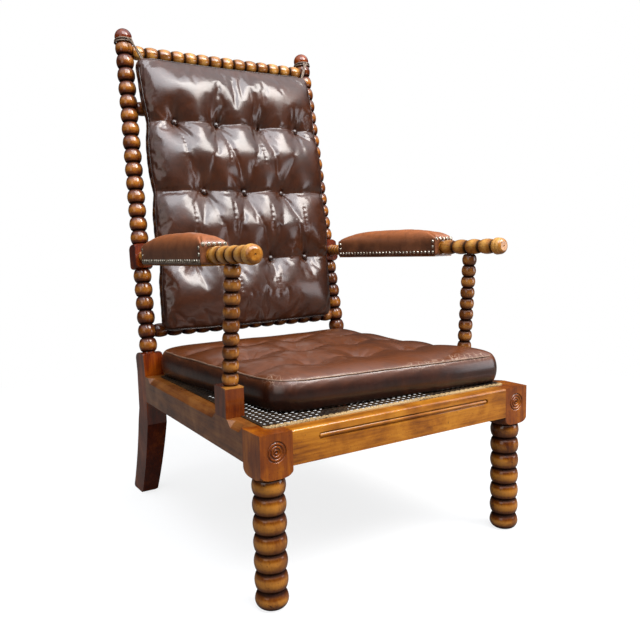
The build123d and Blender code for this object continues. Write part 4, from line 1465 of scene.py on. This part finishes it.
    def detail(self, flat: Array) -> Array:
        """Depth of the sharp creases, the folds round each tuft and the sewn puckers.

        Args:
            flat: Places on the top, as n by 2.

        Returns:
            Depths, in metres.
        """
        bent = wander(flat, *self.crease_wander, self.seed + 8)
        gap, share = segment_distance(bent, self.row_lines)
        depth = self.crease_depth * (bell(gap, self.row_crease, 1.0) * (0.6 + 0.4 * from_middle(share))).max(1)
        gap, share = segment_distance(bent, self.cross_lines)
        depth += 0.8 * self.crease_depth * (bell(gap, self.cross_crease, 1.0) * from_middle(share) ** 2).max(1)
        gap, share = segment_distance(bent, self.folds)
        width = self.fold_width + self.fold_spread * share
        groove = bell(gap, width, 1.4) - 0.45 * bell(gap - 1.9 * width, width)
        depth += self.fold_depth * (groove * (1 - share) ** 0.8 * (share < 0.999)).sum(1)
        gap, share = segment_distance(flat, self.stitches)
        beat = 0.6 + 0.4 * np.cos(2 * np.pi * share * self.stitch_count)
        inside = smooth_step(0.0, 0.06, share) * smooth_step(1.0, 0.94, share)
        lip_place, lip_width = self.stitch_lip
        tuck = beat * bell(gap, self.stitch_width) - 0.30 * bell(gap - lip_place, lip_width)
        depth += self.stitch_depth * (tuck * inside).sum(1)
        distance = np.linalg.norm(flat[:, None] - self.tufts, axis=-1).min(1)
        return depth + self.dimple_depth * bell(distance, self.dimple_width)

    def build(self, body: Body, material: bpy.types.Material, nodes: Sequence[str],
              piping_material: bpy.types.Material | None = None) -> None:
        """Makes the slack form, fills it, and adds the detail, the masks and the piping.

        Args:
            body: What they move with.
            material: Leather of the form.
            nodes: Nodes that the form replaces.
            piping_material: Leather of the piping, where it isn't the form's.
        """
        cushion = self._slack_form()
        self.stuffing.fill(cushion, self.held)

        local = self.placement.local(read_vectors(cushion.data.vertices, "co"))
        facing = read_vectors(cushion.data.vertex_normals, "vector") @ self.placement.out
        upper = smooth_step(0.25, 0.7, facing) * (local[:, 2] > self.seam - self.detail_margin)
        local[:, 2] -= self.detail(local[:, :2]) * upper
        self.points = local[(facing > 0.2) & (local[:, 2] > self.seam - self.top_reach)]
        move_points(cushion.data, self.placement.world(local))
        # Faces turned out from the cushion take more of the lighter colour: wear plus painted light, with the
        # walls left darker.
        high, low = self.rub_and_light
        gap, _ = segment_distance(local[:, :2], self.cracks)
        cracked = smooth_step(*self.crack_reach, gap.min(1, initial=1.0)) * upper
        set_masks(cushion, low + (high - low) * smooth_step(0.1, 0.6, facing), cracked)
        settle(cushion, body, material, nodes)

        rings = sweep(self._laid_seam(local), 2 * self.piping, 2 * self.piping, self.piping_sides, closed=True)
        pipe = make_object(f"{self.name}_piping", self.placement.world(rings),
                           tube_faces(len(rings), self.piping_sides, closed=True))
        set_masks(pipe, self.piping_rub, self.piping_rub)
        settle(pipe, body, piping_material or material)

    def _slack_form(self) -> bpy.types.Object:
        """Closed form of the slack surface, with a fan of faces round each pole.

        Returns:
            The linked object.
        """
        rows = self.surface()
        count, around = rows.shape[:2]
        flat = rows.reshape(-1, 3)
        poles = np.stack([rows[0].mean(0), rows[-1].mean(0)])
        ring = np.arange(around)
        following = np.roll(ring, -1)
        last = (count - 1) * around
        top_fan = np.stack([np.full(around, len(flat)), ring, following], -1)
        low_fan = np.stack([np.full(around, len(flat) + 1), last + following, last + ring], -1)
        faces = grid_faces(count, around)[:, ::-1].tolist() + top_fan.tolist() + low_fan.tolist()
        return make_object(self.name, self.placement.world(np.concatenate([flat, poles])), faces)

    def _laid_seam(self, local: Array) -> Array:
        """Seam path moved onto the nearest points of the finished form, and smoothed.

        Args:
            local: Points of the form, in its own frame.

        Returns:
            Points along the path.
        """
        near = local[np.abs(local[:, 2] - self.seam) < self.seam_reach]
        laid = near[np.concatenate([np.linalg.norm(part[:, None] - near, axis=-1).argmin(1)
                                    for part in in_blocks(self.seam_path())])]
        window = range(-self.seam_smooth, self.seam_smooth + 1)
        laid = sum(np.roll(laid, shift, 0) for shift in window) / len(window)
        along = unit(np.roll(laid, -1, 0) - np.roll(laid, 1, 0))
        return laid + np.stack([along[:, 1], -along[:, 0], np.ones(len(along))], -1) * self.piping * 0.5

    def height_at(self, places: Array) -> Array:
        """Height of the finished top: the mean of its points within the probe's reach.

        Args:
            places: Places on the top, as n by 2.

        Returns:
            Heights, in the cushion's own frame.
        """
        near = np.linalg.norm(self.points[:, None, :2] - places, axis=-1) < self.probe
        return (self.points[:, 2:] * near).sum(0) / np.maximum(near.sum(0), 1)


@dataclass
class Buttons:
    """Covered buttons drawn into a cushion's tufts."""

    name: str
    cushion: TuftedCushion
    places: Array
    radius: float
    height: float
    sink: float
    sides: int = 24
    steps: int = 8

    def build(self, body: Body, material: bpy.types.Material, nodes: Sequence[str]) -> None:
        """Makes the domes: a quarter oval turned about each button's axis, closed below.

        Args:
            body: What they move with.
            material: Their leather.
            nodes: Nodes that they replace.
        """
        angle = np.linspace(0, np.pi / 2, self.steps)[:-1]
        profile_r = np.concatenate([[0.85], np.cos(angle)]) * self.radius
        profile_z = np.concatenate([[-0.45], np.sin(angle)]) * self.height
        turn = circle(self.sides)
        rings = np.stack([profile_r[:, None] * np.cos(turn), profile_r[:, None] * np.sin(turn),
                          profile_z[:, None] + 0 * turn], -1)
        dome = np.concatenate([rings.reshape(-1, 3), [[0, 0, self.height]]])
        tip, last = len(dome) - 1, len(dome) - 1 - self.sides
        ring = np.arange(self.sides)
        fan = np.stack([last + ring, last + np.roll(ring, -1), np.full(self.sides, tip)], -1)
        faces = grid_faces(len(rings), self.sides).tolist() + fan.tolist() + [ring[::-1].tolist()]
        heights = self.cushion.height_at(self.places) - self.sink
        parts = [(self.cushion.placement.world(dome + place), faces)
                 for place in np.column_stack([self.places, heights])]
        piece = merged(self.name, parts)
        set_masks(piece, 0.0)
        settle(piece, body, material, nodes)


@dataclass
class ArmPad:
    """Stuffed leather pad nailed over an arm's square core, with a holed panel at each end."""

    sizes: ChairSizes
    side: int
    core_width: float = 0.049
    core_height: float = 0.038
    leather: float = 0.002
    skirt: float = 0.035
    crown: float = 0.0215
    edge: float = 0.023
    waist: float = 0.006
    hole: float = 0.0159
    rear_reach: float = 0.38
    front_reach: float = 0.50
    crown_drop: float = 0.001
    wrinkle_depth: float = 0.0009
    wrinkle_cell: float = 0.014
    wrinkle_patch: float = 0.06
    gather_depth: float = 0.0008
    gather_beat: float = 560.0
    gather_reach: float = 0.012
    slit_tips: tuple[float, float] = (0.0235, 0.0130)
    slit_length: float = 0.034
    slit_depth: float = 0.0030
    slit_width: float = 0.0016
    lip_height: float = 0.0013
    lip_place: float = 0.0048
    lip_width: float = 0.0026
    panel_power: int = 12
    panel_edge: float = 0.0004
    panel_worn: float = 0.30
    rows: int = 150
    around: int = 72
    panel_sides: int = 72
    seed: int = 31

    @property
    def half(self) -> float:
        """Half width over the leather."""
        return self.core_width / 2 + self.leather

    @property
    def low(self) -> float:
        """Height of the skirts' lower edge from the arm's axis."""
        return self.core_height / 2 - self.skirt

    def surface(self) -> tuple[Array, Array]:
        """Rings of the pad: straight skirts, a superellipse dome and the inside over the core.

        The dome's height over the waist is (1 - |u|^p)^(1/q) times the height of the top there;
        p and q grow at the ends, where the dome runs out into the square panels.

        Returns:
            Points in the arm's frame, as rows by points by 3, and the mask of the lighter colour, growing
            towards the top: wear plus painted light.
        """
        every = np.zeros((self.rows, 1))
        along = 0.5 - 0.5 * np.cos(np.linspace(0, np.pi, self.rows))
        rear = (1 - np.clip(1 - along / self.rear_reach, 0, 1) ** 2.2) ** 0.6
        fore = (1 - np.clip((along - 1 + self.front_reach) / self.front_reach, 0, 1) ** 2.6) ** 0.6
        rise = rear * fore
        u = -np.cos(np.linspace(0, np.pi, self.around))
        p = (2.5 + 4.5 * (1 - rise) ** 2)[:, None]
        dome = (1 - np.abs(u) ** p) ** (1 / (0.85 * p))
        top = self.edge + (self.crown - self.crown_drop) * rise
        arch = self.waist + (top[:, None] - self.waist) * dome
        walls = np.array([self.low, (self.low + self.waist) / 2]) + every
        height = np.concatenate([walls, arch, walls[:, ::-1]], 1)
        x = np.concatenate([[-self.half, -self.half], u * self.half, [self.half, self.half]]) + every
        z = (self.sizes.spool + along * self.sizes.pad)[:, None] + np.zeros_like(x)

        lift = np.concatenate([[0, 0], (1 - u ** 4), [0, 0]])
        ends = (np.minimum(along, 1 - along) * self.sizes.pad)[:, None]
        wrinkle = (smooth_noise(x, z * 0.8, self.wrinkle_cell, self.seed)
                   * smooth_noise(x, z, self.wrinkle_patch, self.seed + 1))
        gathers = np.cos(x * self.gather_beat + self.seed) * bell(ends, self.gather_reach, 1.0)
        height = height + lift * (self.wrinkle_depth * wrinkle + self.gather_depth * gathers)
        height = height - self._pleats(x, z) * lift ** 0.3
        # Higher places take more of the lighter colour: wear plus painted light on the top.
        worn = smooth_step(0.0, self.edge + self.crown * 0.7, height)

        inner, deck = self.core_width / 2, self.core_height / 2
        x = np.concatenate([x, np.array([inner, inner, -inner, -inner]) + every], 1)
        height = np.concatenate([height, np.array([self.low, deck, deck, self.low]) + every], 1)
        z = np.concatenate([z, np.repeat(z[:, :1], 4, 1)], 1)
        worn = np.concatenate([0.04 + 0.90 * worn ** 1.5, np.zeros((self.rows, 4))], 1)
        return np.stack([x, height, z], -1), worn

    def _pleats(self, x: Array, z: Array) -> Array:
        """Depth of the slit with its lip where the leather is folded at both front corners.

        Args:
            x, z: Places across and along the arm.

        Returns:
            Depths, in metres.
        """
        tip = self.sizes.spool + self.sizes.pad
        outer, inner = self.slit_tips
        slits = np.array([[[side * outer, tip], [side * inner, tip - self.slit_length]]
                          for side in (LEFT, RIGHT)])
        gap, share = segment_distance(np.stack([x, z], -1).reshape(-1, 2), slits)
        fold = (self.slit_depth * bell(gap, self.slit_width)
                - self.lip_height * bell(gap - self.lip_place, self.lip_width))
        return (fold * (1 - share) ** 0.5).sum(1).reshape(x.shape)

    def _panel(self, near: float, far: float) -> tuple[Array, Faces]:
        """Square leather panel with a round hole, between two places along the arm.

        Args:
            near, far: Where its faces lie.

        Returns:
            Points and faces.
        """
        middle, tall = (self.edge + self.low) / 2, (self.edge - self.low) / 2
        angle = circle(self.panel_sides)
        power = self.panel_power
        reach = (np.abs(np.cos(angle)) ** power + np.abs(np.sin(angle)) ** power) ** (-1 / power)
        outer = np.stack([self.half * reach * np.cos(angle), middle + tall * reach * np.sin(angle)], -1)
        inner = self.hole * unit(outer)
        soft = self.panel_edge * np.sign(far - near)
        loops = [(inner, near), (outer, near), (outer, far - soft), (outer * 0.99, far), (inner * 1.01, far),
                 (inner, far - soft)]
        rings = np.stack([np.column_stack([flat, np.full(len(flat), z)]) for flat, z in loops], 1)
        return rings, tube_faces(self.panel_sides, len(loops), closed=True)

    def build(self, material: bpy.types.Material) -> None:
        """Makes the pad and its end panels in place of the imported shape.

        Args:
            material: Its leather.
        """
        label = SIDE_NAMES[self.side]
        core = self.sizes.arm(self.side).placement(ACROSS)
        placement = Placement(core.origin, core.across, core.up * np.sign(core.up[2]), core.out)
        rings, worn = self.surface()
        faces = [face[::-1] for face in tube_faces(*rings.shape[:2], closed=False)]
        start, end = self.sizes.spool, self.sizes.spool + self.sizes.pad
        panels = [self._panel(start, start - self.leather), self._panel(end, end + self.leather)]
        parts = [(placement.world(points), skin) for points, skin in [(rings, faces), *panels]]
        pad = merged(f"leather_arm_pad_{label}", parts)
        plain = np.full(len(pad.data.vertices) - worn.size, self.panel_worn)
        set_masks(pad, np.concatenate([worn.ravel(), plain]))
        self._face_outwards(pad)
        settle(pad, Body.FRAME, material, [f"arm_pad_{label}"])

    @staticmethod
    def _face_outwards(piece: bpy.types.Object) -> None:
        """Turns every face of a closed mesh to face outwards.

        Args:
            piece: What is turned.
        """
        shape = bmesh.new()
        shape.from_mesh(piece.data)
        bmesh.ops.recalc_face_normals(shape, faces=shape.faces)
        shape.to_mesh(piece.data)
        shape.free()


@dataclass
class Tie:
    """Leather thong from a post's neck down to a corner of the back cushion."""

    sizes: ChairSizes
    side: int
    width: float = 0.0062
    thickness: float = 0.0026
    ring_radius: float = 0.0201
    hinge_out: float = 0.0262
    corner: tuple[float, float, float] = (0.208, 0.654, 0.0345)
    spread: float = 0.009
    turns: tuple[tuple[float, float], ...] = ((-0.0018, 0.0), (0.0022, 0.0006))
    tilt: float = 0.0012
    tilt_phase: float = 900.0
    stagger: float = 0.001
    bow: float = 0.004
    slack: float = 0.0035
    turn_points: int = 72
    strand_points: int = 26
    sides: int = 10

    def build(self, material: bpy.types.Material) -> None:
        """Makes the turns round the neck and the strands that hang from them.

        Args:
            material: Their leather.
        """
        label = SIDE_NAMES[self.side]
        post = self.sizes.post(self.side)
        settle(merged(f"thong_turns_{label}", [self._turn(post, lift, inset) for lift, inset in self.turns]),
               Body.FRAME, material, [f"back_tie_loop_{label}"])
        neck = self.sizes.back_plane().local(post.at(self.sizes.post_neck))
        strands = [self._strand(neck, number) for number in (0, 1)]
        settle(merged(f"thong_strands_{label}", strands), Body.BACK, material,
               [f"back_tie_strands_{label}"])

    def _turn(self, post: Line, lift: float, inset: float) -> tuple[Array, Faces]:
        """One tilted turn round the neck: a circle whose height follows a cosine.

        Args:
            post: Axis of the post.
            lift: Height over the neck.
            inset: How much closer it lies than the first turn.

        Returns:
            Points and faces.
        """
        angle, radius = circle(self.turn_points), self.ring_radius - inset
        heights = self.sizes.post_neck + lift + self.tilt * np.cos(angle + lift * self.tilt_phase)
        path = np.stack([radius * np.cos(angle), radius * np.sin(angle), heights], -1)
        rings = sweep(post.placement(ACROSS).world(path), self.thickness * 1.5, self.width * 0.6, self.sides,
                      closed=True)
        return rings, tube_faces(self.turn_points, self.sides, closed=True)

    def _strand(self, neck: Array, number: int) -> tuple[Array, Faces]:
        """One twisted strand, from its turn down to the cushion's corner.

        Args:
            neck: Where the post's neck lies in the plane of the posts.
            number: 0 for the outer strand, 1 for the inner one.

        Returns:
            Points and faces.
        """
        x, height, out = self.corner
        end = np.array([self.side * x, height, out])
        top = np.array([neck[0] - self.side * self.spread * number, neck[1] + self.stagger * number,
                        self.hinge_out])
        middle = (top + end) / 2 + np.array([self.side * self.bow * (number * 2 - 1), 0.0, self.slack])
        path = curve_through(np.stack([top, middle, end]), self.strand_points)
        rings = sweep(self.sizes.back_plane().world(path), self.width * 0.72, self.thickness, self.sides,
                      closed=False, twist=np.linspace(0.3, 1.6 + number, self.strand_points))
        return rings, tube_faces(self.strand_points, self.sides, closed=False)


def build_seat_cushion(sizes: ChairSizes, material: bpy.types.Material, worn: bpy.types.Material) -> None:
    """Makes the loose seat cushion, its tufts, its piping, lighter from wear and a painted highlight, and its
    ear before the right arm support.

    Args:
        sizes: Sizes of the chair.
        material: Its leather.
        worn: Leather of its piping.
    """
    clearance, wall = 0.0020, 0.055
    base = sizes.rail_top + clearance
    cushion = TuftedCushion(
        "seat_cushion_leather", Placement(sizes.place(0, 0, 0), *np.eye(3)),
        corners=vec(-215, 88, 274, 51, 269, 101, 249, 128, 248, 561, -248, 561).reshape(-1, 2),
        radii=vec(42, 26, 11, 11, 28, 28), bows=vec(5, 0, 0, -1, 5, 3),
        base=base, seam=base + wall, crown=0.022, side_bulge=0.0080,
        rows=[(0.181, (-0.092, 0.026, 0.144)), (0.318, (-0.150, -0.031, 0.088, 0.200)),
              (0.455, (-0.092, 0.026, 0.144))],
        row_ends=(-0.250, 0.254), tuft_depth=0.022, tuft_spread=0.032,
        valley_depth=0.0120, valley_width=0.019, cross_share=0.8, piping=0.0017, piping_rub=0.55,
        stuffing=Stuffing(cap=0.006, growth=0.0, pressure=2.5),
        pulls=np.array([[-205, 95, 2, 2, 20.0], [20, 60, 0, 4, 90.0]]), fold_depth=0.0010, fold_lean=1.5,
        crease_depth=0.0024, rub_and_light=(0.80, 0.0), seed=11,
        cracks=vec(60, 62, 130, 60, 160, 66, 235, 56, -200, 90, -178, 80, -208, 104,
                   -214, 126).reshape(-1, 2, 2))
    cushion.build(Body.SEAT, material, ["seat_cushion"], worn)
    Buttons("seat_tuft_buttons", cushion, cushion.tufts, radius=0.0060, height=0.0030, sink=0.0010).build(
        Body.SEAT, material, ["seat_cushion_buttons"])


def build_back_cushion(sizes: ChairSizes, material: bpy.types.Material) -> None:
    """Makes the back cushion with its buttons, one of them lost.

    Args:
        sizes: Sizes of the chair.
        material: Its leather.
    """
    lost = (0.060, 0.520)
    cushion = TuftedCushion(
        "back_cushion_leather", sizes.back_plane(),
        corners=vec(-230, 43, 215, 46, 222, 666, -225, 666).reshape(-1, 2), radii=vec(20, 24, 22, 22),
        bows=vec(3, 12, -3, -3), base=0.0213, seam=0.0440, crown=0.0335, side_bulge=0.0015,
        rows=[(0.196, (-0.148, -0.049, 0.054, 0.153)), (0.358, (-0.105, 0.0, 0.106)),
              (0.520, (-0.158, -0.054, lost[0], 0.168))],
        row_ends=(-0.222, 0.228), tuft_depth=0.027, tuft_spread=0.027, valley_depth=0.0135,
        valley_width=0.017, cross_share=0.55, piping=0.0012, piping_rub=0.0,
        stuffing=Stuffing(cap=0.010, growth=0.018),
        stitches=vec(-148, 488, -144, 428, -42, 482, -38, 418, 52, 482, 56, 415, -139, 328, -143, 248,
                     -41, 338, -45, 252, 58, 328, 56, 252, 152, 328, 153, 250, -45, 158, -44, 100,
                     56, 152, 56, 92).reshape(-1, 2, 2),
        pulls=np.array([[-222, 520, 7, 0, 32.0], [-218, 358, 6, 0, 30.0], [-216, 196, 7, 0, 32.0],
                        [232, 520, -3, 0, 30.0], [232, 430, 3, 0, 40.0], [236, 358, -2, 0, 30.0],
                        [232, 280, 4, 0, 40.0], [228, 196, -1, 0, 30.0],
                        [-222, 666, -4, 1, 50.0], [218, 45, 3, -2, 30.0]]),
        rear_crown=0.0045, rub_and_light=(0.20, 0.02), seed=23, edge_power=4.2, edge_root=0.55)
    cushion.build(Body.BACK, material, ["back_cushion"])
    kept = cushion.tufts[np.linalg.norm(cushion.tufts - lost, axis=1) > MM]
    Buttons("back_buttons", cushion, kept, radius=0.0078, height=0.0055, sink=-0.0055).build(
        Body.BACK, material, ["back_cushion_buttons"])


# Studio


@dataclass(frozen=True)
class Studio:
    """Camera at the photograph's angle, pale floor and soft lamps."""

    sizes: ChairSizes
    azimuth: float = -32.85
    elevation: float = 6.77
    roll: float = -1.19
    focal_pixels: float = 694.31
    frame_pixels: float = 640.0
    sensor: float = 36.0
    camera_place: tuple[float, float, float] = (-0.77747, -0.91670, 0.59467)
    aim_height: float = 0.5
    floor_radius: float = 9.0
    floor_sides: int = 96

    def build(self) -> None:
        """Adds the camera, the floor, the world and the lamps."""
        self._camera()
        self._floor()
        self._world()
        self._lamp("key", (1.3, -2.0, 3.0), 1.5, 140.0, (1.0, 0.965, 0.92))
        self._lamp("sky", (-0.3, -1.5, 3.1), 2.2, 120.0, (0.90, 0.94, 1.0))
        self._lamp("window", (1.35, -1.25, 0.6), 0.7, 7.0, (0.94, 0.95, 1.0))
        self._lamp("fill", (-2.8, -1.4, 1.4), 1.6, 14.0, (1.0, 0.97, 0.93))

    @staticmethod
    def _stand(name: str, data: bpy.types.ID, axes: Sequence[Array],
               place: Sequence[float]) -> bpy.types.Object:
        """Links an object that looks against the last of its axes.

        Args:
            name: Its name.
            data: Camera or lamp.
            axes: Right, up and back, as unit vectors.
            place: Where it stands.

        Returns:
            The object.
        """
        thing = bpy.data.objects.new(name, data)
        rows = np.column_stack([*axes, place]).tolist()
        thing.matrix_world = Matrix([*rows, (0, 0, 0, 1)])
        bpy.context.scene.collection.objects.link(thing)
        return thing

    def _camera(self) -> None:
        """Camera with the fitted turn, place and lens."""
        az, el, roll = np.radians([self.azimuth, self.elevation, self.roll])
        back = np.array([np.sin(az) * np.cos(el), -np.cos(az) * np.cos(el), np.sin(el)])
        right = unit(np.cross(-back, UPRIGHT))
        up = np.cross(right, -back)
        turned_right = np.cos(roll) * right + np.sin(roll) * up
        turned_up = -np.sin(roll) * right + np.cos(roll) * up
        data = bpy.data.cameras.new("camera")
        data.sensor_width = self.sensor
        data.lens = self.focal_pixels * self.sensor / self.frame_pixels
        bpy.context.scene.camera = self._stand("camera", data, (turned_right, turned_up, back),
                                               self.sizes.place(*self.camera_place))

    def _floor(self) -> None:
        """Pale round floor that fades to white away from the chair."""
        angle = circle(self.floor_sides)
        points = np.stack([np.cos(angle), np.sin(angle), 0 * angle], -1) * self.floor_radius
        floor = make_object("floor", points, [list(range(self.floor_sides))])
        material, g, shader = new_material("Pale floor", Roughness=0.9)
        glow = g.add("ShaderNodeEmission", {"Color": WHITE, "Strength": 1.0})
        seen = g.add("ShaderNodeLightPath").outputs["Is Camera Ray"]
        g.join(shader, Base_Color=g.mix(seen, (0.10, 0.088, 0.075), (0.88, 0.88, 0.88)))
        fade = g.times(g.step(g.vector("LENGTH", g.coordinates()), 0.65, 1.9, 0.80, 1.0), seen)
        mixed = g.add("ShaderNodeMixShader", {0: fade, 1: shader.outputs[0], 2: glow.outputs[0]})
        g.join(g.tree.nodes["Material Output"], Surface=mixed.outputs[0])
        dress(floor, material)

    @staticmethod
    def _world() -> None:
        """World that is bright overhead and before the chair, dim below, and white to the camera."""
        world = bpy.data.worlds.new("world")
        bpy.context.scene.world = world
        world.use_nodes = True
        g = Graph(world.node_tree)
        way = g.add("ShaderNodeSeparateXYZ", {0: g.add("ShaderNodeTexCoord").outputs["Generated"]}).outputs
        sky = g.times(g.step(way["Z"], 0.26, 0.70, 0.0, 2.0), g.step(way["Y"], 0.75, -0.1, 0.08, 1.0))
        background = world.node_tree.nodes["Background"]
        background.inputs["Color"].default_value = (0.90, 0.94, 1.0, 1.0)
        g.join(background, Strength=g.plus(sky, 0.04))
        white = g.add("ShaderNodeBackground", {"Color": WHITE, "Strength": 1.0})
        seen = g.add("ShaderNodeLightPath").outputs["Is Camera Ray"]
        mixed = g.add("ShaderNodeMixShader", {0: seen, 1: background.outputs[0], 2: white.outputs[0]})
        g.join(world.node_tree.nodes["World Output"], Surface=mixed.outputs[0])

    def _lamp(self, name: str, place: tuple[float, float, float], size: float, power: float,
              colour: Colour) -> None:
        """Square area lamp aimed at the chair's middle.

        Args:
            name: Its name.
            place: Where it stands.
            size: Its width.
            power: Its power, in watts.
            colour: Its colour.
        """
        data = bpy.data.lights.new(name, "AREA")
        data.size, data.energy, data.color = size, power, colour
        back = unit(np.array(place) - UPRIGHT * self.aim_height)
        side = unit(np.cross(UPRIGHT, back))
        self._stand(name, data, (side, np.cross(back, side), back), place)


def main() -> None:
    """Builds the chair's looks, piece by piece."""
    logging.basicConfig(level=logging.INFO, format="%(message)s")
    bpy.context.scene.view_settings.view_transform = "Standard"
    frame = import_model()
    sizes = ChairSizes(front=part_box("front_rail")[0][1])
    Studio(sizes).build()
    shared = SharedEffects()

    WoodFrame(sizes, frame["nodes"], shared).build()
    cane = CaneFinish().build(sizes.front)
    CaneSeat(sizes).build(cane)
    dress(frame["nodes"]["cane_spline"], cane)

    hide = LeatherFinish(
        "Dark waxed hide", dark=(0.0085, 0.0019, 0.0008), middle=(0.0190, 0.0046, 0.0018),
        light=(0.036, 0.0092, 0.0030), rubbed_and_lit=(0.100, 0.0250, 0.0040), crack=(0.30, 0.20, 0.14),
        roughness=0.40, coat=0.85, coat_roughness=0.23, gloss=0.13).build(shared)
    # Piping hide, lighter than the cushion: worn welt plus a painted highlight.
    worn = LeatherFinish(
        "Worn piping hide with painted highlight", dark=(0.060, 0.026, 0.014), middle=(0.115, 0.058, 0.034),
        light=(0.21, 0.130, 0.085), rubbed_and_lit=(0.19, 0.105, 0.065), crack=(0.34, 0.25, 0.18),
        roughness=0.45, coat=0.50, coat_roughness=0.25, gloss=0.20).build(shared)
    build_seat_cushion(sizes, hide, worn)
    build_back_cushion(sizes, hide)

    pad_hide = LeatherFinish(
        "Red-brown pad hide", dark=(0.056, 0.0200, 0.0090), middle=(0.100, 0.0370, 0.0165),
        light=(0.145, 0.0540, 0.0240), rubbed_and_lit=(0.290, 0.0860, 0.0240), crack=(0.30, 0.17, 0.10),
        roughness=0.40, coat=0.40, coat_roughness=0.22, gloss=0.30, grain_scale=1100.0,
        grain_depth=0.00012).build(shared)
    thong = ThongFinish().build(shared)
    nail = MetalFinish("Rubbed nail heads", (0.50, 0.45, 0.37), (0.12, 0.09, 0.06), 0.26).build()
    for side in (LEFT, RIGHT):
        ArmPad(sizes, side).build(pad_hide)
        Tie(sizes, side).build(thong)
        dress(frame["nodes"][f"arm_pad_nails_{SIDE_NAMES[side]}"], nail)
    screw = MetalFinish("Dull screws", (0.45, 0.45, 0.46), (0.2, 0.18, 0.16), 0.4).build()
    dress(frame["nodes"]["corner_block_screws"], screw)


if __name__ == "__main__":
    main()
